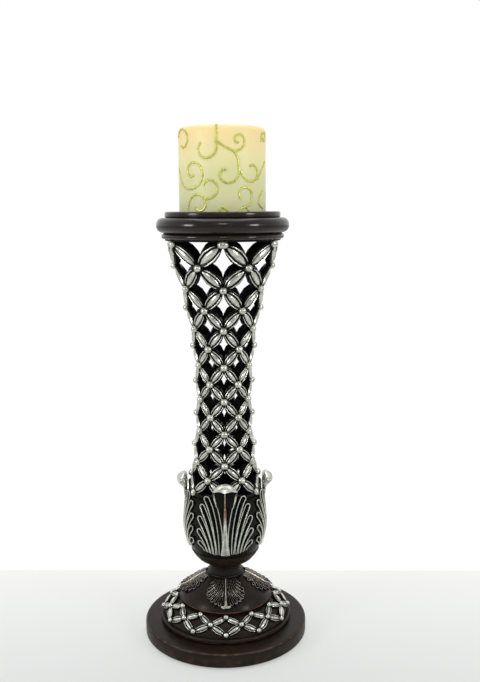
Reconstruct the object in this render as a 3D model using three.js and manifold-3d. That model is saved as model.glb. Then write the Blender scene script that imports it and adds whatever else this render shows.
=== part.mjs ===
// Torchere candle stand: a turned foot with a trellis band and leaves, a leaf bowl, an open
// lattice column and a moulded plate that carries a wax pillar candle with a battery flame.
// Millimetres, +Z up. The origin is the centre of the underside, and the front faces -Y.

import * as THREE from 'three';
import { mergeVertices } from 'three/addons/utils/BufferGeometryUtils.js';
import Module from 'manifold-3d';

const wasm = await Module();
wasm.setup();

// ---------------------------------------------------------------- driving dimensions

const clearance = 0.3; // between pieces that rest on, or pass through, each other

// Foot
const feltRadius = 92;
const feltThickness = 1.7;
const plinthRadius = 101;
const plinthThickness = 17;
const plinthEdgeRadius = 3;
const plinthHeel = 1.5; // bevel under the plinth's edge
const rollRadius = 82; // the roll moulding round the second tier
const rollThickness = 5.2;
const rollRound = 2.5; // width of its rounded edge
const coveDepth = 5; // how far the tier is set in under its roll
const coveHeight = 1.2;
const bandFootInset = 1.2; // the sloping face starts this far inside the outer beads
const bandTopInset = 5; // the flat top of the tier, inside the trellis band

// Trellis band: three rings of beads on the tier's sloping face
const trellisCount = 12;
const trellisOuterRadius = 77.9;
const trellisOuterHeight = 11.2; // bead centres above the foot of the tier
const trellisMiddleRadius = 71;
const trellisMiddleHeight = 19.8;
const trellisInnerRadius = 60.8;
const trellisInnerHeight = 24.8;
const trellisBeadRadius = 4.1;
const trellisRelief = 2.4; // bead centres above the face they lie on
const trellisPetalThickness = 3;

// Dome and its four leaves
const domeRimRadius = 57;
const domeRimThickness = 3;
const domeRimBevel = 0.6;
const domeUndercut = 3; // depth of the groove under the rim
const domeUndercutHeight = 2.4;
const domeFaceInset = 0.8; // the dome's face starts this far inside the rim's edge
const domeHeight = 30.9;
const domeTopRadius = 24.5;
const domeBulge = 7;
const footLeafHalfWidth = 24.5;
const footLeafThickness = 3.4;
const footLeafLift = 6; // how far the leaf's end stands off the dome
const footLeafOverhang = 3.5; // how far its tip reaches past the dome's rim
const footLeafTipRise = 1.5; // underside of the tip above the rim
const footLeafOutline = [0.36, 0.6, 0.84, 1, 0.95, 0.78, 0.6, 0.26]; // half widths, neck to tip
const footLeafThinning = 0.35; // how much thinner its edges are than its middle
const leafCount = 4;

// Neck and bowl
const neckRingRadius = 24;
const neckRingHeight = 4;
const neckRingRound = 2;
const neckWaistRadius = 20.2;
const neckStemHeight = 16.9; // from the neck's foot to the foot of its cup
const neckHeight = 35.2;
const neckTopRadius = 42.2;
const neckCup = [ // [inset, height above its foot]
  [18, 0.5],
  [13.9, 2.4],
  [8.9, 5.5],
  [7, 7.6],
  [3.7, 11.3],
  [1.8, 14.4],
  [0.5, 17.5],
];
const neckRimBevel = 1;
const bowlFootRadius = 41.5;
const bowlBellyRadius = 49.2;
const bowlRimRadius = 45.8;
const bowlHeight = 72.6;
const bowlBoreRadius = 30;
const bowlFloorThickness = 26;
const columnSeatRadius = 41.5; // pocket in the bowl's rim that takes the column's foot
const columnSeatDepth = 8;

// Four leaves on the bowl, each with a rolled-over tip
const cupLeafHalfWidth = 35.5;
const cupLeafThickness = 2.7;
const cupLeafStart = 4.7; // above the bowl's foot
const cupLeafOutline = [0.64, 0.84, 1, 1, 0.98, 0.94, 0.88, 0.78]; // half widths, foot to rim
const cupLeafThinning = 0.3; // how much thinner its edges are than its middle
const cupLeafStandOff = 2.6; // from the bowl's rim to the leaf's back, behind the rolled tip
const throatPinch = 0.6; // the leaf draws in this far below the rolled tip
const hoodHalfWidth = 14;
const hoodHeight = 26; // top of the rolled tip above the bowl's rim
const hoodReach = 8.5; // how far the rolled tip stands out past the leaf
const hoodDrop = 8; // how far its lip turns down again
const hoodSag = 0.8; // how much of that drop its sides have already lost

// Lattice column
const columnSides = 6;
const columnRows = 15;
const columnHeight = 301.5; // from the lowest row of beads to the highest
const columnFootRadius = 44.3;
const columnWaistRadius = 33.4;
const columnHeadRadius = 68.5;
const columnWaistShare = 0.38; // height of the waist as a share of the column
const columnPitchGrowth = 0.44; // how much wider the top pitch is than the lowest
const columnWall = 5.5;
const beadRadius = 4.2;
const beadRelief = 3.4; // beads stand out this far past the line of the column
const headBeadStretch = 1.45; // the top beads are longer round the column
const petalFullness = 0.44; // width of a petal over its length
const petalCrest = 1.2; // height of the ridge down the middle of a petal
const petalEndTurn = 21; // half the angle that a petal's end takes of its bead, degrees
const footFlangeThickness = 4;
const footFlangeWidth = 10;
const headFlangeThickness = 3.7;
const headFlangeBoreRadius = 44;
const collarWidth = 4.8; // collars under the lowest beads and over the highest
const footCollarRim = 1.2;
const footCollarRise = 0.8;
const headCollarDepth = 2.2;
const headTaper = 0.2;

// Plate
const plateRimRadius = 72.5;
const plateRimThickness = 7.3;
const plateRimRound = 2;
const plateRollRadius = 78.5;
const plateRollThickness = 17.2;
const plateRollDepth = 7; // width of its half round
const plateLipRadius = 68.2;
const plateLipThickness = 7;
const plateLipRound = 2;
const plateLipBevel = 1.6;
const plateRecessRadius = 52.5;
const plateRecessDepth = 4.2;

// Fasteners
const rodRadius = 4;
const nutAcrossFlats = 13;
const nutThickness = 6.5;
const washerRadius = 10;
const washerThickness = 1.6;
const counterboreRadius = 14;
const rodLowerEnd = 0.5; // how far the rod reaches past its nuts
const rodUpperEnd = 4;
const counterboreDepth = rodLowerEnd + nutThickness + washerThickness + 2 * clearance;
const screwRadius = 2;
const screwHeadRadius = 4;
const screwHeadHeight = 2.2;
const screwCount = 3;
const footScrewCircle = 35.4;
const footScrewLength = 14;
const headScrewCircle = 48.5;

// Candle
const candleRadius = 50.8;
const candleHeight = 99.4;
const candleRimRadius = 6;
const candleHeel = 0.8; // bevel round the candle's foot
const candleWall = 12.8;
const wellRadius = 37; // of the well that holds the flame
const wellFloorThickness = 8;
const flameRadius = 7.5;
const flameLength = 15.5;
const flameStemRadius = 6;
const flameStemHeight = 1.5; // above the floor of the well
const flameFlangeRadius = 9;
const flameFlangeThickness = 4;

// Battery case inside the candle, for two AA cells that stand side by side
const caseInset = 2.9; // the case's underside above the candle's
const caseTopThickness = 2.5;
const caseHeadroom = 7.3; // from the case up to the wax, for the flame's flange
const cellRadius = 7.25;
const cellLength = 50.5;
const cellShoulder = 0.6;
const cellNubRadius = 2.7;
const cellNubHeight = 1.2;
const cellSpacing = 16;
const cellRoom = 2.25; // round the pair of cells
const cellWellRadius = cellSpacing / 2 + cellRadius + cellRoom;
const contactThickness = 0.5;
const coverLedge = 1.5; // width of the step that the cover closes on
const coverRadius = cellWellRadius + coverLedge;
const coverLipThickness = 3.3;
const coverTabLength = 2.2;
const coverTabWidth = 7;
const coverTabThickness = 2.4;
const coverTurn = 30; // degrees from locked to free
const coinSlotLength = 20;
const coinSlotWidth = 2;
const coinSlotDepth = 1.5;
const switchCircle = 29.5;
const switchWidth = 4;
const switchLength = 6;
const switchHeight = 5;
const switchThumb = 2; // length of its raised thumb piece
const thumbHeight = 1;
const switchTravel = 3;
const switchPocketDepth = 4;

// Facets
const fullTurn = 2 * Math.PI;
const bigRound = 32;
const midRound = 24;
const smallRound = 12;

// ---------------------------------------------------------------- heights of the stack

const plinthBottom = feltThickness + clearance;
const plinthTop = plinthBottom + plinthThickness;
const tierBottom = plinthTop + clearance;
const domeBottom = tierBottom + trellisInnerHeight - trellisRelief * 0.4 + clearance;
const domeTop = domeBottom + domeHeight;
const neckBottom = domeTop + clearance;
const neckTop = neckBottom + neckHeight;
const bowlBottom = neckTop + clearance;
const bowlTop = bowlBottom + bowlHeight;
const columnSeat = bowlTop - columnSeatDepth;
const lowestRow = bowlTop + clearance + beadRadius;
const highestRow = lowestRow + columnHeight;
const plateBottom = highestRow + beadRadius + clearance;
const plateSocket = plateBottom + headFlangeThickness + 2 * clearance;
const plateRollBottom = plateBottom + plateRimThickness;
const plateLipBottom = plateRollBottom + plateRollThickness;
const plateTop = plateLipBottom + plateLipThickness;
const candleSeat = plateTop - plateRecessDepth;

// ---------------------------------------------------------------- materials

function finish(colour, roughness, metalness) {
  return new THREE.MeshStandardMaterial({ color: colour, roughness, metalness });
}

const darkBronze = finish(0x3a2c25, 0.42, 0.15);
const espresso = finish(0x2a2420, 0.22, 0.1);
const blackIron = finish(0x23201f, 0.45, 0.2);
const antiqueSilver = finish(0xaba795, 0.34, 0.75);
const wax = finish(0xe4d8a8, 0.5, 0);
const blackFelt = finish(0x2b2b2b, 0.95, 0);
const zincSteel = finish(0xb4b7ba, 0.35, 0.9);
const whitePlastic = finish(0xe6e2d6, 0.5, 0);
const amberPlastic = finish(0xf0c987, 0.35, 0);
const cellWrap = finish(0x4a4f55, 0.4, 0.3);

// ---------------------------------------------------------------- mesh helpers

function radians(degrees) {
  return THREE.MathUtils.degToRad(degrees);
}

function signedVolume(positions, corners) {
  const a = new THREE.Vector3();
  const b = new THREE.Vector3();
  const c = new THREE.Vector3();
  let total = 0;
  for (let i = 0; i < corners.length; i += 3) {
    a.fromBufferAttribute(positions, corners[i]);
    b.fromBufferAttribute(positions, corners[i + 1]);
    c.fromBufferAttribute(positions, corners[i + 2]);
    total += a.dot(b.cross(c)) / 6;
  }
  return total;
}

// One vertex at each corner, no empty triangles, and faces that point out.
function weld(geometry) {
  geometry.deleteAttribute('normal');
  geometry.deleteAttribute('uv');
  const welded = mergeVertices(geometry, 1e-4);
  const corners = welded.index.array;
  const kept = [];
  for (let i = 0; i < corners.length; i += 3) {
    const [a, b, c] = corners.slice(i, i + 3);
    if (a !== b && b !== c && c !== a) {
      kept.push(a, b, c);
    }
  }
  if (signedVolume(welded.attributes.position, kept) < 0) {
    kept.reverse();
  }
  welded.setIndex(kept);
  return welded;
}

function toSolid(geometry) {
  const welded = weld(geometry);
  const vertProperties = new Float32Array(welded.attributes.position.array);
  const triVerts = new Uint32Array(welded.index.array);
  return new wasm.Manifold(new wasm.Mesh({ numProp: 3, vertProperties, triVerts }));
}

function toGeometry(solid) {
  const mesh = solid.getMesh();
  const geometry = new THREE.BufferGeometry();
  geometry.setAttribute('position', new THREE.BufferAttribute(mesh.vertProperties, 3));
  geometry.setIndex(new THREE.BufferAttribute(mesh.triVerts, 1));
  geometry.computeVertexNormals();
  return geometry;
}

function joined(solids) {
  return solids.reduce((whole, solid) => whole.add(solid));
}

function cut(solid, cutters) {
  return cutters.reduce((left, cutter) => left.subtract(cutter), solid);
}

// A profile of [radius, height] pairs turned about Z. A profile that leaves the axis is a
// ring, and closes on itself.
function turned(profile, segments) {
  const points = profile.map(([radius, height]) => new THREE.Vector2(radius, height));
  if (profile[0][0] > 0) {
    points.push(points[0].clone());
  }
  return weld(new THREE.LatheGeometry(points, segments).rotateX(Math.PI / 2));
}

function pillar(radius, bottom, top, segments, x = 0, y = 0) {
  const geometry = new THREE.CylinderGeometry(radius, radius, top - bottom, segments);
  return geometry.rotateX(Math.PI / 2).translate(x, y, (bottom + top) / 2);
}

function block(width, depth, bottom, top, x = 0, y = 0) {
  const geometry = new THREE.BoxGeometry(width, depth, top - bottom);
  return geometry.translate(x, y, (bottom + top) / 2);
}

// Points of an elliptical arc in the profile plane; 0 degrees points away from the axis.
function arc(centre, middle, width, height, from, to, steps) {
  const points = [];
  for (let step = 0; step <= steps; step += 1) {
    const angle = radians(from + ((to - from) * step) / steps);
    points.push([centre + width * Math.cos(angle), middle + height * Math.sin(angle)]);
  }
  return points;
}

function smooth(points, steps) {
  const curve = new THREE.SplineCurve(points.map(([x, y]) => new THREE.Vector2(x, y)));
  return curve.getPoints(steps).map((point) => [point.x, point.y]);
}

// A point at a radius and height, turned from the front by an angle about Z.
function around(radius, height, angle) {
  return new THREE.Vector3(radius * Math.sin(angle), -radius * Math.cos(angle), height);
}

// A thin solid between two grids of points that share their rows and columns.
function slab(rows, columns, front, back) {
  const positions = [];
  for (const side of [front, back]) {
    for (let row = 0; row < rows; row += 1) {
      for (let column = 0; column < columns; column += 1) {
        positions.push(...side(row, column).toArray());
      }
    }
  }
  const at = (side, row, column) => (side * rows + row) * columns + column;
  const corners = [];
  const quad = (a, b, c, d) => corners.push(a, b, c, a, c, d);
  for (let row = 0; row + 1 < rows; row += 1) {
    for (let column = 0; column + 1 < columns; column += 1) {
      quad(
        at(0, row, column),
        at(0, row, column + 1),
        at(0, row + 1, column + 1),
        at(0, row + 1, column),
      );
      quad(
        at(1, row, column),
        at(1, row + 1, column),
        at(1, row + 1, column + 1),
        at(1, row, column + 1),
      );
    }
    quad(at(0, row, 0), at(0, row + 1, 0), at(1, row + 1, 0), at(1, row, 0));
    const last = columns - 1;
    quad(at(0, row, last), at(1, row, last), at(1, row + 1, last), at(0, row + 1, last));
  }
  for (let column = 0; column + 1 < columns; column += 1) {
    const last = rows - 1;
    quad(at(0, 0, column), at(1, 0, column), at(1, 0, column + 1), at(0, 0, column + 1));
    quad(at(0, last, column), at(0, last, column + 1), at(1, last, column + 1), at(1, last, column));
  }
  const geometry = new THREE.BufferGeometry();
  geometry.setAttribute('position', new THREE.Float32BufferAttribute(positions, 3));
  geometry.setIndex(corners);
  return weld(geometry);
}

// ---------------------------------------------------------------- openwork

// A net of beads and petals on a surface of revolution, as one closed mesh. Each ring of beads
// has a radius, a height, a normal in the profile plane and a shift in steps round the axis.
// Every bead is an eight-sided stud whose corners it shares with the petals that end on it, and
// a petal is widest at its middle, where its ridge is highest.
function openwork({ rings, sides, stud, top, bottom, relief, crest, stretch }) {
  const step = fullTurn / sides;
  const positions = [];
  const corners = [];
  const vertex = (point) => positions.push(...point.toArray()) / 3 - 1;
  const quad = (a, b, c, d) => corners.push(a, b, c, a, c, d);
  const spot = (ring, place) => {
    const angle = (place + rings[ring].shift) * step;
    const { radius, height, normal } = rings[ring];
    return { angle, radius, height, out: around(normal.x, normal.y, angle) };
  };
  const between = (from, to, share) => {
    const mix = (key) => from[key] + (to[key] - from[key]) * share;
    return {
      centre: around(mix('radius'), mix('height'), mix('angle')),
      out: around(to.height - from.height, from.radius - to.radius, mix('angle')).normalize(),
    };
  };
  // The four neighbours of a bead, in turn about its outward direction from the upper right.
  const neighbours = (ring, place) => [[1, 1], [1, -1], [-1, -1], [-1, 1]].map(([up, right]) => {
    const other = ring + up;
    const exists = other >= 0 && other < rings.length;
    const row = exists ? other : ring - up;
    const home = (place + rings[ring].shift + right / 2) - rings[row].shift;
    return { exists, other: row, place: Math.round(home), up, right };
  });

  const beads = rings.map((_, ring) => Array.from({ length: sides }, (__, place) => {
    const here = spot(ring, place);
    const centre = around(here.radius, here.height, here.angle);
    const sideways = around(1, 0, here.angle + Math.PI / 2);
    const upright = here.out.clone().cross(sideways);
    const wide = ring === rings.length - 1 ? stretch : 1;
    const rim = [];
    for (const { exists, other, place: far, up, right } of neighbours(ring, place)) {
      const there = spot(other, far);
      const across = step * 0.5 * (here.radius + there.radius) / 2;
      const along = Math.hypot(there.radius - here.radius, there.height - here.height);
      const direction = Math.atan2(up * along, right * across);
      for (const turn of [-petalEndTurn, petalEndTurn]) {
        const angle = direction + radians(turn);
        const point = centre.clone()
          .addScaledVector(sideways, stud * wide * Math.cos(angle))
          .addScaledVector(upright, stud * Math.sin(angle));
        rim.push({
          upper: vertex(point.clone().addScaledVector(here.out, top)),
          lower: vertex(point.clone().addScaledVector(here.out, bottom)),
          open: turn > 0 || !exists,
        });
      }
    }
    const peak = vertex(centre.clone().addScaledVector(here.out, relief));
    rim.forEach((corner, index) => {
      const next = rim[(index + 1) % rim.length];
      corners.push(peak, corner.upper, next.upper);
      if (index > 0 && index + 1 < rim.length) {
        corners.push(rim[0].lower, next.lower, corner.lower);
      }
      if (corner.open) {
        quad(corner.upper, corner.lower, next.lower, next.upper);
      }
    });
    return rim;
  }));

  const beadAt = (ring, place) => beads[ring][((place % sides) + sides) % sides];
  for (let ring = 0; ring + 1 < rings.length; ring += 1) {
    for (let place = 0; place < sides; place += 1) {
      for (const neighbour of neighbours(ring, place).slice(0, 2)) {
        const from = spot(ring, place);
        const to = spot(neighbour.other, neighbour.place);
        const length = between(from, to, 0).centre.distanceTo(between(from, to, 1).centre);
        const first = neighbour.right > 0 ? 0 : 2;
        const start = beadAt(ring, place).slice(first, first + 2);
        const end = beadAt(neighbour.other, neighbour.place).slice(first + 4, first + 6);
        const { centre, out } = between(from, to, 0.5);
        const across = centre.clone().sub(between(from, to, 0.45).centre).cross(out).normalize();
        const ridge = vertex(centre.clone().addScaledVector(out, top + crest));
        const middle = [1, -1].map((side) => {
          const edge = centre.clone().addScaledVector(across, side * petalFullness * length / 2);
          return {
            upper: vertex(edge.clone().addScaledVector(out, top)),
            lower: vertex(edge.clone().addScaledVector(out, bottom)),
          };
        });
        const outline = [start[0], middle[0], end[1], end[0], middle[1], start[1]];
        outline.forEach((corner, index) => {
          corners.push(ridge, corner.upper, outline[(index + 1) % outline.length].upper);
        });
        for (const [[right, left], [farRight, farLeft]] of [
          [start, middle],
          [middle, [end[1], end[0]]],
        ]) {
          quad(right.lower, left.lower, farLeft.lower, farRight.lower);
          quad(right.upper, right.lower, farRight.lower, farRight.upper);
          quad(left.upper, farLeft.upper, farLeft.lower, left.lower);
        }
      }
    }
  }
  const geometry = new THREE.BufferGeometry();
  geometry.setAttribute('position', new THREE.Float32BufferAttribute(positions, 3));
  geometry.setIndex(corners);
  return weld(geometry);
}

// ---------------------------------------------------------------- foot

const rodHole = rodRadius + clearance;

function feltPad() {
  return turned([[0, 0], [feltRadius, 0], [feltRadius, feltThickness], [0, feltThickness]], bigRound);
}

function plinth() {
  const ceiling = plinthBottom + counterboreDepth;
  const edge = plinthEdgeRadius;
  return turned([
    [counterboreRadius, plinthBottom],
    [plinthRadius - plinthHeel, plinthBottom],
    [plinthRadius, plinthBottom + plinthHeel],
    ...arc(plinthRadius - edge, plinthTop - edge, edge, edge, 0, 90, 3),
    [rodHole, plinthTop],
    [rodHole, ceiling],
    [counterboreRadius, ceiling],
  ], bigRound);
}

// Bead rings of the trellis band: radius, height, and the direction their beads point in.
const bandNormal = (lower, upper) => [upper[1] - lower[1], lower[0] - upper[0]];
const ringOuter = [trellisOuterRadius, tierBottom + trellisOuterHeight];
const ringMiddle = [trellisMiddleRadius, tierBottom + trellisMiddleHeight];
const ringInner = [trellisInnerRadius, tierBottom + trellisInnerHeight];
const steep = new THREE.Vector2(...bandNormal(ringOuter, ringMiddle)).normalize();
const shallow = new THREE.Vector2(...bandNormal(ringMiddle, ringInner)).normalize();
const between = steep.clone().add(shallow).normalize();

// The face under a bead ring, one relief below the bead centres.
function faceUnder([radius, height], normal) {
  return [radius - trellisRelief * normal.x, height - trellisRelief * normal.y];
}

function tier() {
  const rollBottom = tierBottom + coveHeight;
  const rollMiddle = rollBottom + rollThickness / 2;
  const foot = rollRadius - coveDepth;
  const top = domeBottom - clearance;
  return turned([
    [rodHole, tierBottom],
    [foot, tierBottom],
    [foot, rollBottom],
    ...arc(rollRadius - rollRound, rollMiddle, rollRound, rollThickness / 2, -90, 90, 3),
    [trellisOuterRadius - bandFootInset, rollBottom + rollThickness * 0.75],
    faceUnder(ringOuter, steep),
    faceUnder(ringMiddle, between),
    faceUnder(ringInner, shallow),
    [trellisInnerRadius - bandTopInset, top],
    [rodHole, top],
  ], bigRound);
}

function trellis() {
  const ring = ([radius, height], normal, shift) => ({ radius, height, normal, shift });
  return openwork({
    rings: [
      ring(ringOuter, steep, 0),
      ring(ringMiddle, between, 0.5),
      ring(ringInner, shallow, 0),
    ],
    sides: trellisCount,
    stud: trellisBeadRadius,
    top: trellisPetalThickness - trellisRelief,
    bottom: 2 * clearance - trellisRelief,
    relief: trellisBeadRadius * 0.8,
    crest: petalCrest,
    stretch: 1,
  });
}

// The dome's face from its rim up to the neck, as [radius, height] points.
const domeRimBottom = domeBottom + domeUndercutHeight;
const domeRimTop = domeRimBottom + domeRimThickness;
const domeShoulder = new THREE.Vector2(
  (domeRimRadius + domeTopRadius) / 2 + domeBulge,
  (domeRimTop + domeTop) / 2 + domeBulge * 0.4,
);
const domeFace = new THREE.QuadraticBezierCurve(
  new THREE.Vector2(domeRimRadius - domeFaceInset, domeRimTop),
  domeShoulder,
  new THREE.Vector2(domeTopRadius, domeTop),
).getPoints(6).map((point) => [point.x, point.y]);

function dome() {
  return turned([
    [rodHole, domeBottom],
    [domeRimRadius - domeUndercut, domeBottom],
    [domeRimRadius - domeUndercut, domeRimBottom],
    [domeRimRadius - domeRimBevel, domeRimBottom],
    [domeRimRadius, domeRimBottom + domeRimThickness / 2],
    ...domeFace,
    [rodHole, domeTop],
  ], midRound);
}

// A fan-shaped leaf from the neck down over the dome. Its underside follows the dome and its
// end stands off it, past the rim.
function footLeaf() {
  const columns = 7;
  const underside = domeFace.map(([radius, height]) => [radius, height + clearance]).reverse();
  underside[0][0] = neckRingRadius + 2 * clearance;
  const [rimRadius, rimHeight] = underside[underside.length - 1];
  underside.push([rimRadius + footLeafOverhang, rimHeight + footLeafTipRise]);
  const last = underside.length - 1;
  const place = (row, column, rise) => {
    const [radius, height] = underside[row];
    const share = (2 * column) / (columns - 1) - 1;
    const halfTurn = (footLeafHalfWidth * footLeafOutline[row]) / radius;
    const chord = Math.cos(halfTurn / (columns - 1));
    const thinning = 1 - footLeafThinning * share * share;
    return around(radius / chord, height + rise * thinning, share * halfTurn);
  };
  const thickness = (row) => {
    const lift = THREE.MathUtils.smoothstep(row / last, 0.3, 0.9);
    return footLeafThickness + footLeafLift * lift;
  };
  return slab(
    underside.length,
    columns,
    (row, column) => place(row, column, thickness(row)),
    (row, column) => place(row, column, row === last ? footLeafLift * 0.6 : 0),
  );
}

// ---------------------------------------------------------------- neck, bowl and its leaves

function neck() {
  const cupFoot = neckBottom + neckStemHeight;
  const ringMiddle = neckBottom + neckRingHeight / 2;
  const ringCentre = neckRingRadius - neckRingRound;
  return turned([
    [rodHole, neckBottom],
    ...arc(ringCentre, ringMiddle, neckRingRound, neckRingHeight / 2, -90, 90, 4),
    [neckWaistRadius, neckBottom + neckRingHeight],
    [neckWaistRadius, cupFoot],
    ...neckCup.map(([inset, height]) => [neckTopRadius - inset, cupFoot + height]),
    [neckTopRadius, neckTop - neckRimBevel],
    [neckTopRadius - neckRimBevel, neckTop],
    [rodHole, neckTop],
  ], midRound);
}

// The bowl's outer face from its foot to its rim, as [radius, height] points.
const bowlFace = smooth([
  [bowlFootRadius, bowlBottom],
  [(bowlFootRadius + 2 * bowlBellyRadius) / 3, bowlBottom + bowlHeight * 0.19],
  [bowlBellyRadius, bowlBottom + bowlHeight * 0.42],
  [(2 * bowlBellyRadius + bowlRimRadius) / 3, bowlBottom + bowlHeight * 0.7],
  [bowlRimRadius, bowlTop],
], 8);

const bowlFloor = bowlBottom + bowlFloorThickness;
const screwTurn = fullTurn / screwCount;

function bowl() {
  const body = toSolid(turned([
    [rodHole, bowlBottom],
    ...bowlFace,
    [columnSeatRadius, bowlTop],
    [columnSeatRadius, columnSeat],
    [bowlBoreRadius, columnSeat],
    [bowlBoreRadius, bowlFloor],
    [rodHole, bowlFloor],
  ], bigRound));
  const holes = [];
  for (let index = 0; index < screwCount; index += 1) {
    const { x, y } = around(footScrewCircle, 0, index * screwTurn);
    const depth = columnSeat - footScrewLength;
    holes.push(toSolid(pillar(screwRadius + clearance, depth, columnSeat + 1, 8, x, y)));
  }
  return toGeometry(cut(body, holes));
}

// A lobed leaf that follows the bowl, leaves it at the rim and rolls over at its tip.
function cupLeaf() {
  const columns = 7;
  const hugging = bowlFace.slice(0, -1).map(([radius, height]) => [radius + clearance, height]);
  const [[footRadius, footHeight], [nextRadius, nextHeight]] = hugging;
  const startShare = cupLeafStart / (nextHeight - footHeight);
  hugging[0] = [footRadius + (nextRadius - footRadius) * startShare, footHeight + cupLeafStart];
  const tip = bowlTop + hoodHeight - cupLeafThickness / 2;
  const throat = bowlRimRadius + cupLeafStandOff;
  const hoodRound = hoodReach / 2;
  const archCentre = throat + hoodRound - throatPinch / 2;
  const inner = [
    ...hugging,
    [throat, bowlTop + hoodHeight * 0.12],
    [throat - throatPinch, bowlTop + hoodHeight * 0.35],
    ...arc(archCentre, tip - hoodRound, hoodRound, hoodRound, 180, 0, 4),
    [throat + hoodReach, tip - hoodDrop],
  ];
  const blade = cupLeafOutline.map((share) => share * cupLeafHalfWidth);
  const shoulder = (hoodHalfWidth + cupLeafHalfWidth * 0.55) / 2;
  const halfWidths = inner.map((_, row) => blade[row] ?? hoodHalfWidth);
  halfWidths[blade.length] = shoulder;
  const last = inner.length - 1;
  const outwardAt = (row) => {
    const [r0, z0] = inner[Math.max(row - 1, 0)];
    const [r1, z1] = inner[Math.min(row + 1, last)];
    return new THREE.Vector2(z1 - z0, r0 - r1).normalize();
  };
  const lip = inner[last][1];
  const place = (row, column, rise) => {
    const [radius, crown] = inner[row];
    const share = (2 * column) / (columns - 1) - 1;
    const height = crown - Math.max(crown - lip, 0) * hoodSag * share * share;
    const angle = (share * halfWidths[row]) / radius;
    const chord = Math.cos(halfWidths[row] / radius / (columns - 1));
    const normal = outwardAt(row);
    return around(radius / chord + rise * normal.x, height + rise * normal.y, angle);
  };
  const thickness = (column) => {
    const share = (2 * column) / (columns - 1) - 1;
    return cupLeafThickness * (1 - cupLeafThinning * share * share);
  };
  return slab(
    inner.length,
    columns,
    (row, column) => place(row, column, thickness(column)),
    (row, column) => place(row, column, 0),
  );
}

// ---------------------------------------------------------------- lattice column

// Row heights: the pitch grows smoothly from the foot to the head.
const rowHeights = [];
{
  const pitches = [];
  for (let row = 0; row + 1 < columnRows; row += 1) {
    pitches.push(1 + columnPitchGrowth * (row / (columnRows - 2)) ** 2);
  }
  const total = pitches.reduce((sum, pitch) => sum + pitch);
  let height = lowestRow;
  rowHeights.push(height);
  for (const pitch of pitches) {
    height += (columnHeight * pitch) / total;
    rowHeights.push(height);
  }
}

// Radius of the column's line of bead centres: an hourglass that flares most at the head.
function columnRadius(height) {
  const waist = lowestRow + columnWaistShare * columnHeight;
  if (height > waist) {
    const share = (height - waist) / (highestRow - waist);
    return columnWaistRadius + (columnHeadRadius - columnWaistRadius) * share ** 2.15;
  }
  const share = (waist - height) / (waist - lowestRow);
  return columnWaistRadius + (columnFootRadius - columnWaistRadius) * share ** 2;
}

function columnNormal(height) {
  const reach = 1;
  const slope = (columnRadius(height + reach) - columnRadius(height - reach)) / (2 * reach);
  return new THREE.Vector2(1, -slope).normalize();
}

function latticeColumn() {
  const petalTop = 1;
  const net = toSolid(openwork({
    rings: rowHeights.map((height, row) => ({
      radius: columnRadius(height),
      height,
      normal: columnNormal(height),
      shift: ((columnRows - 1 - row) % 2) / 2,
    })),
    sides: columnSides,
    stud: beadRadius,
    top: petalTop,
    bottom: petalTop - columnWall,
    relief: beadRelief,
    crest: petalCrest,
    stretch: headBeadStretch,
  }));

  const footOuter = columnSeatRadius - clearance;
  const footBottom = columnSeat + clearance;
  const footTop = footBottom + footFlangeThickness;
  const ringBottom = bowlTop + clearance;
  const foot = turned([
    [footOuter - footFlangeWidth, footBottom],
    [footOuter, footBottom],
    [footOuter, ringBottom],
    [columnFootRadius + footCollarRim, ringBottom],
    [columnFootRadius + footCollarRim, lowestRow + footCollarRise],
    [columnFootRadius - collarWidth, lowestRow + footCollarRise],
    [columnFootRadius - collarWidth, footTop],
    [footOuter - footFlangeWidth, footTop],
  ], bigRound);

  const headTop = plateSocket - clearance;
  const headBottom = headTop - headFlangeThickness;
  const head = turned([
    [headFlangeBoreRadius, headBottom],
    [columnHeadRadius - collarWidth, headBottom],
    [columnHeadRadius - collarWidth, headBottom - headCollarDepth],
    [columnHeadRadius - headTaper, headBottom - headCollarDepth],
    [columnHeadRadius + headTaper, headTop],
    [headFlangeBoreRadius, headTop],
  ], bigRound);

  const holes = [];
  for (let index = 0; index < screwCount; index += 1) {
    const low = around(footScrewCircle, 0, index * screwTurn);
    const high = around(headScrewCircle, 0, index * screwTurn);
    const hole = screwRadius + clearance;
    holes.push(toSolid(pillar(hole, footBottom - 1, footTop + 1, 8, low.x, low.y)));
    holes.push(toSolid(pillar(hole, headBottom - 1, headTop + 1, 8, high.x, high.y)));
  }
  return toGeometry(cut(joined([net, toSolid(foot), toSolid(head)]), holes));
}

// ---------------------------------------------------------------- plate

// A countersunk screw that points down, with its head's top at height 0.
function screw(length, grow = 0) {
  return turned([
    [0, -length],
    [screwRadius + grow, -length],
    [screwRadius + grow, -screwHeadHeight],
    [screwHeadRadius + grow, -0.3 * grow],
    [screwHeadRadius + grow, grow],
    [0, grow],
  ], smallRound);
}

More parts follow.
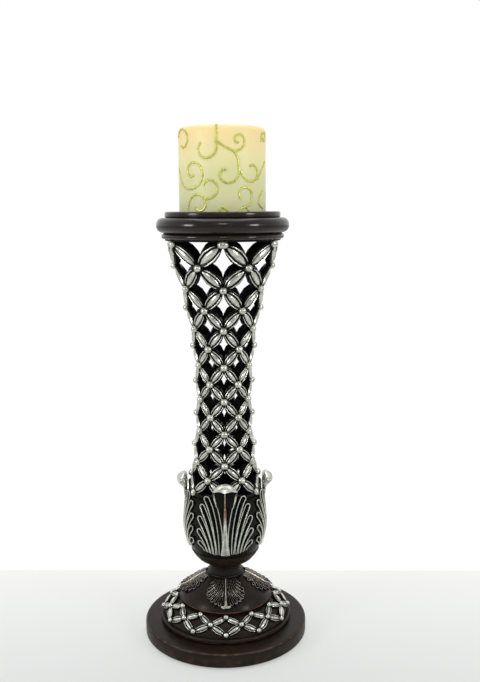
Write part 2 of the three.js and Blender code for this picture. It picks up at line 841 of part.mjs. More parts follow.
function plate() {
  const socketRadius = columnHeadRadius + headTaper + clearance;
  const rimHalf = plateRimThickness * 0.4;
  const rimCentre = plateRimRadius - plateRimRound;
  const rollHalf = plateRollThickness / 2;
  const rollCentre = plateRollRadius - plateRollDepth;
  const lip = plateLipRound;
  const body = toSolid(turned([
    [0, plateSocket],
    [socketRadius, plateSocket],
    [socketRadius, plateBottom],
    ...arc(rimCentre, plateBottom + rimHalf, plateRimRound, rimHalf, -90, 40, 2),
    [rimCentre, plateRollBottom],
    ...arc(rollCentre, plateRollBottom + rollHalf, plateRollDepth, rollHalf, -80, 90, 6),
    [plateLipRadius - plateLipBevel, plateLipBottom],
    [plateLipRadius, plateLipBottom + plateLipBevel],
    ...arc(plateLipRadius - lip, plateTop - lip, lip, lip, 0, 90, 2),
    [plateRecessRadius, plateTop],
    [plateRecessRadius, candleSeat],
    [0, candleSeat],
  ], bigRound));
  const holes = [];
  for (let index = 0; index < screwCount; index += 1) {
    const place = around(headScrewCircle, candleSeat, index * screwTurn);
    const hole = screw(candleSeat - plateBottom, clearance);
    holes.push(toSolid(hole.translate(place.x, place.y, place.z)));
  }
  return toGeometry(cut(body, holes));
}

// ---------------------------------------------------------------- fasteners

function nut() {
  const corner = nutAcrossFlats / 2 / Math.cos(Math.PI / 6);
  const outline = new THREE.Shape();
  for (let side = 0; side < 6; side += 1) {
    const angle = (side * fullTurn) / 6;
    const method = side === 0 ? 'moveTo' : 'lineTo';
    outline[method](corner * Math.cos(angle), corner * Math.sin(angle));
  }
  outline.closePath();
  outline.holes.push(new THREE.Path().absarc(0, 0, rodHole, 0, fullTurn, true));
  return weld(new THREE.ExtrudeGeometry(outline, {
    depth: nutThickness,
    bevelEnabled: false,
    curveSegments: smallRound,
  }));
}

function washer() {
  return turned([
    [rodHole, 0],
    [washerRadius, 0],
    [washerRadius, washerThickness],
    [rodHole, washerThickness],
  ], 16);
}

const lowerWasher = plinthBottom + counterboreDepth - clearance - washerThickness;
const lowerNut = lowerWasher - clearance - nutThickness;
const upperWasher = bowlFloor + clearance;
const upperNut = upperWasher + washerThickness + clearance;
const rodBottom = lowerNut - rodLowerEnd;
const rodTop = upperNut + nutThickness + rodUpperEnd;

// ---------------------------------------------------------------- candle, from its own underside

const caseRadius = candleRadius - candleWall - clearance;
const coverPlate = caseInset + coverLipThickness;
const coverTabTop = coverPlate + clearance + coverTabThickness;
const lowerContact = coverTabTop + clearance;
const cellBottom = lowerContact + contactThickness + clearance;
const upperContact = cellBottom + cellLength + clearance;
const cellCeiling = upperContact + contactThickness + clearance;
const caseTop = cellCeiling + caseTopThickness;
const cavityTop = caseTop + caseHeadroom;
const wellFloor = cavityTop + wellFloorThickness;
const wellDepth = candleHeight - wellFloor;
const flameBottom = caseTop + clearance;
const stemTop = wellFloor + flameStemHeight;

function candleShell() {
  const cavity = candleRadius - candleWall;
  const rim = candleRimRadius;
  return turned([
    [cavity, 0],
    [candleRadius - candleHeel, 0],
    [candleRadius, candleHeel],
    ...arc(candleRadius - rim, candleHeight - rim, rim, rim, 0, 90, 3),
    [wellRadius + 4.4, candleHeight - rim * 0.4],
    [wellRadius + 1.6, wellFloor + wellDepth * 0.4],
    [wellRadius, wellFloor + 2],
    [wellRadius - 4, wellFloor],
    [flameStemRadius + clearance, wellFloor],
    [flameStemRadius + clearance, cavityTop],
    [cavity, cavityTop],
  ], bigRound);
}

function ledFlame() {
  const flange = flameBottom + flameFlangeThickness;
  return turned([
    [0, flameBottom],
    [flameFlangeRadius, flameBottom],
    [flameFlangeRadius, flange],
    [flameStemRadius, flange],
    [flameStemRadius, stemTop],
    [flameRadius, stemTop + flameLength * 0.2],
    [flameRadius * 0.93, stemTop + flameLength * 0.38],
    [flameRadius * 0.5, stemTop + flameLength * 0.74],
    [0, stemTop + flameLength],
  ], smallRound);
}

function batteryCase() {
  const opening = coverRadius + clearance;
  const groove = coverRadius + coverTabLength + clearance;
  const grooveTop = coverTabTop + clearance;
  const body = toSolid(turned([
    [0, cellCeiling],
    [cellWellRadius, cellCeiling],
    [cellWellRadius, grooveTop],
    [groove, grooveTop],
    [groove, coverPlate],
    [opening, coverPlate],
    [opening, caseInset],
    [caseRadius, caseInset],
    [caseRadius, caseTop],
    [0, caseTop],
  ], midRound));
  const notchWidth = coverTabWidth + 2 * clearance;
  const notches = toSolid(block(2 * groove, notchWidth, caseInset - 1, coverPlate + 1)
    .rotateZ(radians(coverTurn)));
  const pocketLength = switchLength + switchTravel + 2 * clearance;
  const pocket = toSolid(block(switchWidth + 2 * clearance, pocketLength, caseInset - 1,
    caseInset + switchPocketDepth, -switchCircle, switchTravel / 2));
  return toGeometry(cut(body, [notches, pocket]));
}

function batteryCover() {
  const plug = cellWellRadius - clearance;
  const disc = toSolid(turned([
    [0, caseInset],
    [coverRadius, caseInset],
    [coverRadius, coverPlate],
    [plug, coverPlate],
    [plug, coverTabTop],
    [0, coverTabTop],
  ], midRound));
  const tabs = toSolid(block(2 * (coverRadius + coverTabLength - 0.2), coverTabWidth,
    coverPlate + clearance, coverTabTop));
  const slotTop = caseInset + coinSlotDepth;
  const slot = toSolid(block(coinSlotLength, coinSlotWidth, caseInset - 1, slotTop));
  return toGeometry(cut(joined([disc, tabs]), [slot]));
}

function powerSwitch() {
  const top = caseInset + switchPocketDepth - clearance;
  const bottom = top - switchHeight;
  const base = toSolid(block(switchWidth, switchLength, bottom + thumbHeight, top));
  const thumb = toSolid(block(switchWidth - 1, switchThumb, bottom, bottom + 2 * thumbHeight));
  return toGeometry(joined([base, thumb]));
}

function cell() {
  const canTop = cellLength - cellNubHeight;
  return turned([
    [0, 0],
    [cellRadius - cellShoulder, 0],
    [cellRadius, cellShoulder],
    [cellRadius, canTop - cellShoulder],
    [cellRadius - cellShoulder, canTop],
    [cellNubRadius, canTop],
    [cellNubRadius, cellLength],
    [0, cellLength],
  ], smallRound);
}

function coverContact() {
  const reach = cellWellRadius - 3;
  return turned([[0, 0], [reach, 0], [reach, contactThickness], [0, contactThickness]], 16);
}

function topContact() {
  const side = cellRadius * 1.6;
  return block(side, side, 0, contactThickness);
}

// ---------------------------------------------------------------- assembly

const stand = new THREE.Group();

function add(name, geometry, material, parent = stand) {
  const mesh = new THREE.Mesh(geometry, material);
  mesh.name = name;
  parent.add(mesh);
  return mesh;
}

add('felt_pad', feltPad(), blackFelt);
add('base_plinth', plinth(), darkBronze);
add('base_tier', tier(), darkBronze);
add('base_trellis', trellis(), antiqueSilver);
add('base_dome', dome(), darkBronze);
add('neck', neck(), darkBronze);
add('leaf_bowl', bowl(), blackIron);
add('lattice_column', latticeColumn(), antiqueSilver);
add('candle_plate', plate(), espresso);

const sides = ['front', 'right', 'back', 'left'];
for (const [index, side] of sides.entries()) {
  const turn = (index * fullTurn) / leafCount;
  add(`foot_leaf_${side}`, footLeaf(), antiqueSilver).rotation.z = turn;
  add(`cup_leaf_${side}`, cupLeaf(), antiqueSilver).rotation.z = turn;
}

add('tie_rod', weld(pillar(rodRadius, rodBottom, rodTop, smallRound)), zincSteel);
add('rod_washer_lower', washer(), zincSteel).position.z = lowerWasher;
add('rod_washer_upper', washer(), zincSteel).position.z = upperWasher;
add('rod_nut_lower', nut(), zincSteel).position.z = lowerNut;
add('rod_nut_upper', nut(), zincSteel).position.z = upperNut;

for (let index = 0; index < screwCount; index += 1) {
  const footTop = columnSeat + clearance + footFlangeThickness;
  const low = around(footScrewCircle, footTop + clearance + screwHeadHeight, index * screwTurn);
  const high = around(headScrewCircle, candleSeat, index * screwTurn);
  const headLength = candleSeat - (plateSocket - clearance - headFlangeThickness);
  add(`column_screw_${index + 1}`, screw(footScrewLength), zincSteel).position.copy(low);
  add(`plate_screw_${index + 1}`, screw(headLength), zincSteel).position.copy(high);
}

const candle = new THREE.Group();
candle.position.z = candleSeat + clearance;
stand.add(candle);
add('candle_shell', candleShell(), wax, candle);
add('led_flame', ledFlame(), amberPlastic, candle);
add('battery_case', batteryCase(), whitePlastic, candle);
add('battery_cover', batteryCover(), whitePlastic, candle);
add('cover_contact', coverContact(), zincSteel, candle).position.z = lowerContact;
add('power_switch', powerSwitch(), espresso, candle).position.x = -switchCircle;

for (const [index, side] of ['left', 'right'].entries()) {
  const x = (index - 0.5) * cellSpacing;
  const battery = add(`cell_${side}`, cell(), cellWrap, candle);
  battery.position.set(x, 0, cellBottom + index * cellLength);
  battery.rotation.x = index * Math.PI;
  add(`top_contact_${side}`, topContact(), zincSteel, candle).position.set(x, 0, upperContact);
}

export default stand;
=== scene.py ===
"""Looks of a torchere candle stand: lacquered turnings, a silvered bead and petal lattice, carved
leaves and a wax pillar candle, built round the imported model. Metres, +Z up, front towards -Y."""

import math
from functools import partial

import bmesh
import bpy
from mathutils import Matrix, Vector


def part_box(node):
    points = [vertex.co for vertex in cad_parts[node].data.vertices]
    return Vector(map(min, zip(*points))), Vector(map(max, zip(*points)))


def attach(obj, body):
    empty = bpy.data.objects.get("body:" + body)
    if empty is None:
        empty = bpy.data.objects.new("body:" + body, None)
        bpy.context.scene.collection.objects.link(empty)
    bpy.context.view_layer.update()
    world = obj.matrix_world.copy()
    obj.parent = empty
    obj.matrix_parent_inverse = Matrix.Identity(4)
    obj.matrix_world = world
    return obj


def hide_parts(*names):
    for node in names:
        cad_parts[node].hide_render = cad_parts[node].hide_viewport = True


bl_info = {
    "name": "Torchere Candle Stand",
    "version": (1, 0, 0),
    "blender": (4, 5, 0),
    "location": "View3D > Sidebar > Candle Stand",
    "description": "Builds the turnings, lattice, leaves and candle of a torchere stand",
    "category": "Add Mesh",
}

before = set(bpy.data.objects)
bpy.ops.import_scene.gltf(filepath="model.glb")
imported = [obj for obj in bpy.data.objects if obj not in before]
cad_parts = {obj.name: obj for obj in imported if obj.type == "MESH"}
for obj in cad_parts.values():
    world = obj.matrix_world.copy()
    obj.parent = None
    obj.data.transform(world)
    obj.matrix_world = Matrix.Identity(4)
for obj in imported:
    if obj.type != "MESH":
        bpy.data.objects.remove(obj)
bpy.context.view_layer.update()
node_boxes = {node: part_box(node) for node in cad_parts}

MM = 0.001
FULL_TURN = 2 * math.pi
SIDES = ("front", "right", "back", "left")


def reach(node):
    """Outer radius of a turned CAD node."""
    return node_boxes[node][1].x


def bottom(node):
    return node_boxes[node][0].z


def top(node):
    return node_boxes[node][1].z


# ------------------------------------------------------------------ sizes and colours


def metres(name, description, default):
    """A length in metres that the panel shows in the scene's unit."""
    return bpy.props.FloatProperty(name=name, description=description, default=default,
                                   unit="LENGTH", subtype="DISTANCE")


def hex_colour(name, description, default):
    """A colour written as sRGB hex."""
    return bpy.props.StringProperty(name=name, description=description, default=default)


class StandSizes(bpy.types.PropertyGroup):
    """Sizes of the stand's turnings, lattice and leaves."""

    round_steps: bpy.props.IntProperty(
        name="Round Steps", description="Facets round a turned piece", default=128, min=32)
    trellis_count: bpy.props.IntProperty(
        name="Trellis Count", description="Beads in one ring of the foot's band", default=12, min=3)
    trellis_bead: metres("Trellis Bead", "Radius of a bead on the foot's band", 3.1 * MM)
    column_sides: bpy.props.IntProperty(
        name="Column Sides", description="Beads in one row of the column", default=6, min=3)
    column_rows: bpy.props.IntProperty(
        name="Column Rows", description="Rows of beads up the column", default=15, min=2)
    column_height: metres("Column Height", "From the lowest row of beads to the highest", 301.5 * MM)
    column_foot: metres("Column Foot", "Radius of the lowest row of beads", 42.7 * MM)
    column_waist: metres("Column Waist", "Radius of the narrowest row of beads", 31.8 * MM)
    column_head: metres("Column Head", "Radius of the highest row of beads", 66.9 * MM)
    waist_share: bpy.props.FloatProperty(
        name="Waist Share", description="Height of the waist over the column's", default=0.38,
        subtype="FACTOR")
    pitch_growth: bpy.props.FloatProperty(
        name="Pitch Growth", description="How much wider the top pitch is than the lowest",
        default=0.44, subtype="FACTOR")
    column_bead: metres("Column Bead", "Radius of a bead on the column", 4.5 * MM)
    head_stretch: bpy.props.FloatProperty(
        name="Head Stretch", description="Width of a top bead over its height", default=1.45)
    leaf_ridge: metres("Leaf Ridge", "Height of the silvered ridge round a lobe of a leaf", 1.3 * MM)


class CandleSizes(bpy.types.PropertyGroup):
    """Sizes of the candle's wax, well and scrolls."""

    rim_round: metres("Rim Round", "Radius of the candle's top edge", 6 * MM)
    well_radius: metres("Well Radius", "Radius of the well that holds the flame", 37 * MM)
    well_depth: metres("Well Depth", "Depth of the well below the rim", 20 * MM)
    scroll_radius: metres("Scroll Radius", "Half the width of a raised scroll", 1.5 * MM)


class FinishColours(bpy.types.PropertyGroup):
    """Colours of the finishes, as sRGB hex."""

    bronze: hex_colour("Bronze", "Ground of the foot's turnings", "#191512")
    copper: hex_colour("Copper", "Rub-through on edges", "#835840")
    espresso: hex_colour("Espresso", "Gloss lacquer of the plate", "#15110F")
    black: hex_colour("Black", "Ground under the silver", "#0E0D0C")
    silver: hex_colour("Silver", "Silver leaf", "#DADAD1")
    wax_low: hex_colour("Wax Low", "Wax near the plate", "#E4E1AC")
    # Painted glow: the wax's colour near the flame stands in for the flame's light through the wax.
    wax_glow: hex_colour("Wax High", "Wax near the flame", "#F9DDA2")
    gilt: hex_colour("Gilt", "Paint of the scrolls", "#D4D162")


# ------------------------------------------------------------------ nodes and colours


def linear(code):
    """Linear RGBA of an sRGB hex colour."""
    channels = [int(code[i:i + 2], 16) / 255 for i in (1, 3, 5)]
    return (*[c / 12.92 if c <= 0.04045 else ((c + 0.055) / 1.055) ** 2.4 for c in channels], 1)


def add_node(tree, kind, inputs=None, stops=(), **settings):
    """Adds a node with its settings and, on each input, a value, a hex colour, a socket or a list
    of sockets. A colour ramp also takes stops, as (place, hex colour or grey level). It gives the
    node's outputs."""
    made = tree.nodes.new(kind)
    for key, value in settings.items():
        setattr(made, key, value)
    for number, (place, shade) in enumerate(stops):
        elements = made.color_ramp.elements
        element = elements[number] if number < len(elements) else elements.new(place)
        element.position = place
        element.color = linear(shade) if isinstance(shade, str) else (shade, shade, shade, 1)
    for key, value in (inputs or {}).items():
        for source in value if isinstance(value, list) else [value]:
            if isinstance(source, bpy.types.NodeSocket):
                tree.links.new(source, made.inputs[key])
            elif isinstance(source, str) and source.startswith("#"):
                made.inputs[key].default_value = linear(source)
            else:
                made.inputs[key].default_value = source
    return made.outputs


def start_nodes(owner):
    """Empties the nodes of a material or a world, and gives what adds nodes to it."""
    owner.use_nodes = True
    owner.node_tree.nodes.clear()
    return partial(add_node, owner.node_tree)


def new_material(name):
    material = bpy.data.materials.new(name)
    return material, start_nodes(material)


def blotches(add, size, detail=3):
    """A soft noise on Object coordinates whose blotches are about one size across."""
    where = add("ShaderNodeTexCoord")["Object"]
    return add("ShaderNodeTexNoise", {"Vector": where, "Scale": 1 / size, "Detail": detail})["Fac"]


def dress(add, inputs, height, depth):
    """Ends a material: its Principled shader, bumped by a height map that is depth metres deep."""
    normal = add("ShaderNodeBump", {"Height": height, "Distance": depth})[0]
    shader = add("ShaderNodeBsdfPrincipled", {**inputs, "Normal": normal})[0]
    add("ShaderNodeOutputMaterial", {"Surface": shader})


# ------------------------------------------------------------------ materials


def bronze_lacquer(colours):
    """Hand-rubbed bronze lacquer over cast resin: satin and nearly black, worn through to copper
    on the edges, which the eye reads as warm lines along every roll."""
    material, add = new_material("rubbed_bronze_lacquer")
    wear = add("ShaderNodeAttribute", attribute_name="tone")["Fac"]
    patches = blotches(add, 9 * MM, 4)
    broken = add("ShaderNodeMath", {0: patches, 1: 2.4, 2: -1.25}, operation="MULTIPLY_ADD")[0]
    worn = add("ShaderNodeMath", {0: wear, 1: 0.7, 2: broken}, operation="MULTIPLY_ADD",
               use_clamp=True)[0]
    masked = add("ShaderNodeMath", {0: worn, 1: wear}, operation="MULTIPLY", use_clamp=True)[0]
    ground = add("ShaderNodeValToRGB", {0: blotches(add, 30 * MM)}, [
        (0.3, colours.bronze), (0.75, "#271D17")])[0]
    dress(add, {
        "Base Color": add("ShaderNodeMix", {0: masked, 6: ground, 7: colours.copper},
                          data_type="RGBA")[2],
        "Roughness": add("ShaderNodeValToRGB", {0: patches}, [(0.3, 0.30), (0.7, 0.44)])[0],
        "IOR": 1.5, "Specular IOR Level": 0.12, "Coat Weight": 0.05, "Coat Roughness": 0.15,
    }, blotches(add, 2.5 * MM, 2), 0.12 * MM)
    return material


def espresso_gloss(colours):
    """Poured espresso lacquer, rubbed glossy: nearly black, with small sharp highlights and a
    breath of brown where it is thin."""
    material, add = new_material("espresso_gloss_lacquer")
    wear = add("ShaderNodeAttribute", attribute_name="tone")["Fac"]
    thinned = add("ShaderNodeMath", {0: wear, 1: 0.35}, operation="MULTIPLY")[0]
    ground = add("ShaderNodeValToRGB", {0: blotches(add, 24 * MM)}, [
        (0.35, colours.espresso), (0.8, "#1F1814")])[0]
    dress(add, {
        "Base Color": add("ShaderNodeMix", {0: thinned, 6: ground, 7: "#4A352A"},
                          data_type="RGBA")[2],
        "Roughness": add("ShaderNodeValToRGB", {0: blotches(add, 12 * MM)}, [
            (0.3, 0.16), (0.7, 0.26)])[0],
        "IOR": 1.5, "Specular IOR Level": 0.25, "Coat Weight": 0.25, "Coat Roughness": 0.05,
    }, blotches(add, 14 * MM, 1), 0.05 * MM)
    return material


def silver_leaf(colours):
    """Silver leaf rubbed over black lacquer on cast resin: bright on the raised lines and almonds,
    black in the grooves, slightly yellowed and broken where the leaf has rubbed off."""
    material, add = new_material("antiqued_silver_leaf")
    gilt, warm = [add("ShaderNodeAttribute", attribute_name=name)["Fac"] for name in ("tone", "warm")]
    rubbed = blotches(add, 3.2 * MM, 4)
    left = add("ShaderNodeMath", {0: rubbed, 1: -0.7, 2: gilt}, operation="MULTIPLY_ADD")[0]
    mask = add("ShaderNodeMapRange", {"Value": left, "From Max": 0.28},
               interpolation_type="SMOOTHSTEP")[0]
    tarnish = add("ShaderNodeValToRGB", {0: blotches(add, 7 * MM)}, [
        (0.25, "#AFAFA4"), (0.6, colours.silver), (0.85, "#EDEDE6")])[0]
    tinted = add("ShaderNodeMix", {0: warm, 6: tarnish, 7: "#B07A4E"}, data_type="RGBA")[2]
    dress(add, {
        "Base Color": add("ShaderNodeMix", {0: mask, 6: colours.black, 7: tinted},
                          data_type="RGBA")[2],
        "Metallic": add("ShaderNodeMath", {0: mask, 1: 0.92}, operation="MULTIPLY")[0],
        "Roughness": add("ShaderNodeValToRGB", {0: rubbed}, [(0.3, 0.22), (0.75, 0.36)])[0],
        "Specular IOR Level": 0.1,
    }, blotches(add, 2.2 * MM, 2), 0.08 * MM)
    return material


def pillar_wax(colours):
    """Poured paraffin wax: milky, with a painted glow of the flame's light through it. It warms from
    greenish ivory at the foot to peach at the rim and emits a little light near the rim."""
    material, add = new_material("poured_paraffin_wax")
    where = add("ShaderNodeTexCoord")["Object"]
    share = add("ShaderNodeMapRange", {
        "Value": add("ShaderNodeSeparateXYZ", {0: where})["Z"],
        "From Min": bottom("candle_shell"), "From Max": top("candle_shell")})[0]
    cloudy = add("ShaderNodeMath", {0: blotches(add, 35 * MM, 2), 1: 0.3, 2: share},
                 operation="MULTIPLY_ADD")[0]
    level = add("ShaderNodeMath", {0: cloudy, 1: 0.15}, operation="SUBTRACT")[0]
    dress(add, {
        # Painted glow: the colour warms with height towards the rim, where the flame's light shines
        # through.
        "Base Color": add("ShaderNodeValToRGB", {0: level}, [
            (0.0, "#DFDFB2"), (0.35, colours.wax_low),
            (0.65, "#F1E8AE"), (1.0, colours.wax_glow)])[0],
        # Painted glow: the wax emits a little light near the rim, standing in for the flame's light
        # through it.
        "Emission Strength": add("ShaderNodeValToRGB", {0: level}, [
            (0.45, 0.0), (1.0, 0.12)])[0],
        "Emission Color": "#F7C07A", "Roughness": 0.42, "IOR": 1.44,
        "Subsurface Weight": 0.25, "Subsurface Radius": (1.0, 0.8, 0.5),
        "Subsurface Scale": 6 * MM,
    }, blotches(add, 6 * MM), 0.25 * MM)
    return material


def gilt_paint(colours):
    """Raised dimensional paint with gold glitter, piped onto the wax: olive gold, with grains painted
    darker and paler at random, partly their own tone and partly painted glints."""
    material, add = new_material("piped_gold_glitter_paint")
    where = add("ShaderNodeTexCoord")["Object"]
    # Glitter is 0.1 mm or so; it is drawn at 0.8 mm to show at all.
    grains = add("ShaderNodeTexVoronoi", {"Vector": where, "Scale": 1 / (0.8 * MM)})["Color"]
    grain_and_glint = add("ShaderNodeSeparateColor", {0: grains})[0]
    dress(add, {
        # Partly painted glints: each grain's colour is partly its own tone, partly light it is painted
        # to catch.
        "Base Color": add("ShaderNodeValToRGB", {0: grain_and_glint}, [
            (0.0, "#A5A24A"), (0.5, colours.gilt), (1.0, "#F0EE9A")])[0],
        "Metallic": 0.3, "Roughness": 0.34}, grain_and_glint, 0.08 * MM)
    return material


def flame_lens():
    """Frosted amber polypropylene over a lamp: it glows from inside."""
    material, add = new_material("frosted_amber_polypropylene")
    dress(add, {
        "Base Color": add("ShaderNodeValToRGB", {0: blotches(add, 8 * MM)}, [
            (0.2, "#E9A950"), (0.8, "#F8D796")])[0],
        "Emission Color": "#FFC36B", "Emission Strength": 1.2, "Roughness": 0.3,
        "IOR": 1.49}, blotches(add, 2 * MM), 0.1 * MM)
    return material


def wool_felt():
    """Pressed wool felt: dull, with a fine fuzz that softens its edge."""
    material, add = new_material("pressed_wool_felt")
    fuzz = blotches(add, 0.9 * MM, 4)
    dress(add, {
        "Base Color": add("ShaderNodeValToRGB", {0: fuzz}, [
            (0.3, "#1F1F1F"), (0.7, "#353432")])[0],
        "Roughness": 0.95, "Sheen Weight": 0.4}, fuzz, 0.3 * MM)
    return material


def zinc_steel():
    """Zinc-plated steel: pale, cool metal with a faint crystalline mottle."""
    material, add = new_material("zinc_plated_steel")
    mottle = blotches(add, 2 * MM, 2)
    dress(add, {
        "Base Color": add("ShaderNodeValToRGB", {0: mottle}, [
            (0.3, "#9EA2A6"), (0.7, "#C6C9CC")])[0],
        "Roughness": add("ShaderNodeValToRGB", {0: mottle}, [(0.3, 0.28), (0.7, 0.42)])[0],
        "Metallic": 1.0}, mottle, 0.02 * MM)
    return material


def moulded_plastic(name, low, high, roughness):
    """Injection-moulded plastic: even colour with a fine spark-eroded grain."""
    material, add = new_material(name)
    dress(add, {
        "Base Color": add("ShaderNodeValToRGB", {0: blotches(add, 15 * MM, 2)}, [
            (0.3, low), (0.7, high)])[0],
        "Roughness": roughness, "IOR": 1.54}, blotches(add, 0.6 * MM, 2), 0.03 * MM)
    return material


# ------------------------------------------------------------------ mesh building


class Shell:
    """Points with a silvered (or worn) share and a warm share each, and faces, before a mesh."""

    def __init__(self):
        self.points, self.tones, self.warms, self.faces = [], [], [], []

    def add(self, points, tones, faces, warm=0.0):
        start = len(self.points)
        self.points += [tuple(p) for p in points]
        self.tones += list(tones)
        self.warms += list(warm) if isinstance(warm, (list, tuple)) else [warm] * len(points)
        self.faces += [[start + i for i in face] for face in faces]

    def add_grid(self, rows, tones, warms=None, wrap_rows=False, wrap_columns=False):
        """A grid of points, given row by row."""
        count, across = len(rows), len(rows[0])
        faces = []
        for r in range(count if wrap_rows else count - 1):
            for c in range(across if wrap_columns else across - 1):
                r2, c2 = (r + 1) % count, (c + 1) % across
                faces.append([r * across + c, r * across + c2, r2 * across + c2, r2 * across + c])
        self.add([p for row in rows for p in row], [t for row in tones for t in row], faces,
                 [w for row in warms for w in row] if warms else 0.0)

    def build(self, name, *materials):
        """One object with its doubles merged and its faces turned outwards."""
        made = bpy.data.meshes.new(name)
        made.from_pydata(self.points, [], self.faces)
        for mask, values in (("tone", self.tones), ("warm", self.warms)):
            made.attributes.new(mask, "FLOAT", "POINT").data.foreach_set("value", values)
        work = bmesh.new()
        work.from_mesh(made)
        bmesh.ops.remove_doubles(work, verts=work.verts, dist=0.002 * MM)
        bmesh.ops.dissolve_degenerate(work, edges=work.edges, dist=0.001 * MM)
        bmesh.ops.recalc_face_normals(work, faces=work.faces)
        work.to_mesh(made)
        work.free()
        made.shade_smooth()
        made.set_sharp_from_angle(angle=math.radians(42))
        return new_object(name, made, *materials)


def new_object(name, data, *materials):
    made = bpy.data.objects.new(name, data)
    bpy.context.scene.collection.objects.link(made)
    for material in materials:
        made.data.materials.append(material)
    return made


def around(radius, height, turn):
    """A point at a radius and height, turned from the front by an angle about Z."""
    return Vector((radius * math.sin(turn), -radius * math.cos(turn), height))


def arc(centre, middle, width, height, start, end, steps, tone=0.0, worn=None):
    """Profile points (radius, height, tone) on an elliptical arc; 0 degrees points outwards. With
    a worn angle the tone fades out within 30 degrees of it."""
    points = []
    for step in range(steps + 1):
        degrees = start + (end - start) * step / steps
        angle = math.radians(degrees)
        share = 1.0 if worn is None else max(0.0, 1 - abs(degrees - worn) / 30)
        points.append((centre + width * math.cos(angle), middle + height * math.sin(angle),
                       tone * share))
    return points


def spline(points, steps):
    """A Catmull-Rom curve through points of any length, with steps between each pair."""
    made = []
    last = len(points) - 1
    for i in range(last):
        before, here, there, after = (
            points[max(i - 1, 0)], points[i], points[i + 1], points[min(i + 2, last)])
        for step in range(steps):
            t = step / steps
            made.append(tuple(
                0.5 * (2 * b + (c - a) * t + (2 * a - 5 * b + 4 * c - d) * t * t
                       + (3 * b - a - 3 * c + d) * t ** 3)
                for a, b, c, d in zip(before, here, there, after)))
    made.append(tuple(points[-1]))
    return made


def turn_profile(shell, profile, steps):
    """A closed ring turned from profile points (radius, height, tone)."""
    rows = [[around(r, z, FULL_TURN * s / steps) for s in range(steps)] for r, z, _ in profile]
    tones = [[tone] * steps for _, _, tone in profile]
    shell.add_grid(rows, tones, wrap_rows=True, wrap_columns=True)


def smoothstep(value, low, high):
    share = min(max((value - low) / (high - low), 0.0), 1.0)
    return share * share * (3 - 2 * share)


def finish_piece(piece, body, slot, *nodes):
    """Puts a piece on its body and hides the CAD nodes that it stands for; the slot that would name
    its finish is not used.
    """
    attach(piece, body)
    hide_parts(*nodes)


def turned_piece(name, profile, steps, material, body, slot, node):
    shell = Shell()
    turn_profile(shell, profile, steps)
    finish_piece(shell.build(name, material), body, slot, node)


# ------------------------------------------------------------------ turned pieces

HEAD_FLANGE = 68.7 * MM  # outer radius of the ring that ties the lattice under the plate
HEAD_BORE = 44 * MM
COLUMN_SEAT = 41.5 * MM  # radius of the bowl's rim, which the column stands in
CANDLE_RECESS = 52.5 * MM
DEEP = 20 * MM  # further in than any lobe of a leaf is wide
FIRST_ROW = 4.5 * MM  # from the bowl's rim up to the lowest row of beads


def rod_hole():
    """Radius of the hole for the tie rod: the rod's own and its running clearance."""
    return reach("tie_rod") + 0.3 * MM


def plinth_profile():
    low, high, radius = bottom("base_plinth"), top("base_plinth"), reach("base_plinth")
    rounding, heel = 3.2 * MM, 1.8 * MM
    recess = 14 * MM
    ceiling = low + 9.2 * MM
    return [
        (recess, low, 0), (radius - heel, low, 0),
        *arc(radius - heel, low + heel, heel, heel, -75, 0, 4, 0.3),
        (radius, (low + high) / 2, 0.2),
        *arc(radius - rounding, high - rounding, rounding, rounding, 0, 90, 9, 0.75, 50),
        (radius - 9 * MM, high, 0.1), (rod_hole(), high, 0),
        (rod_hole(), ceiling, 0), (recess, ceiling, 0)]


def band_points():
    """Centres of the foot band's three rings of beads, as (radius, height)."""
    foot = bottom("base_tier")
    return [(77.9 * MM, foot + 11.2 * MM), (71 * MM, foot + 19.8 * MM), (60.8 * MM, foot + 24.8 * MM)]


BAND_RELIEF = 2.4 * MM


def band_normals():
    """Directions in which the band's beads point, as (outwards, upwards)."""
    outer, middle, inner = [Vector(p) for p in band_points()]
    steep = Vector((middle.y - outer.y, outer.x - middle.x)).normalized()
    shallow = Vector((inner.y - middle.y, middle.x - inner.x)).normalized()
    return [steep, (steep + shallow).normalized(), shallow]


def tier_profile():
    low, high, radius = bottom("base_tier"), top("base_tier"), reach("base_tier")
    under, cove, roll = low + 1.2 * MM, radius - 5 * MM, 2.6 * MM
    middle = under + roll
    face = [Vector(p) - BAND_RELIEF * n for p, n in zip(band_points(), band_normals())]
    return [
        (rod_hole(), low, 0), (cove, low, 0), (cove, under, 0),
        *arc(radius - roll, middle, roll, roll, -90, 90, 12, 1.0, -35),
        (radius - 5 * MM, middle + 1.6 * MM, 0.1),
        *[(p.x, p.y, 0.0) for p in face],
        (face[2].x - 5 * MM, high, 0), (rod_hole(), high, 0)]


def dome_radius_height(share):
    """The dome's face from its rim (0) to the neck (1), as (radius, height)."""
    low, high = bottom("base_dome"), top("base_dome")
    rim, crown = Vector((56.2 * MM, low + 5.4 * MM)), Vector((24.5 * MM, high))
    pull = Vector((47.75 * MM, high - 9.94 * MM))
    point = rim * (1 - share) ** 2 + pull * 2 * share * (1 - share) + crown * share ** 2
    return point.x, point.y


def dome_profile():
    low, high, radius = bottom("base_dome"), top("base_dome"), reach("base_dome")
    tuck = radius - 3 * MM
    middle = low + 3.9 * MM
    return [
        (rod_hole(), low, 0), (tuck, low, 0), (tuck, low + 2.4 * MM, 0),
        *arc(radius - 1.5 * MM, middle, 1.5 * MM, 1.5 * MM, -90, 75, 11, 1.0, 15),
        *[(*dome_radius_height(i / 16), 0.1) for i in range(17)],
        (rod_hole(), high, 0)]


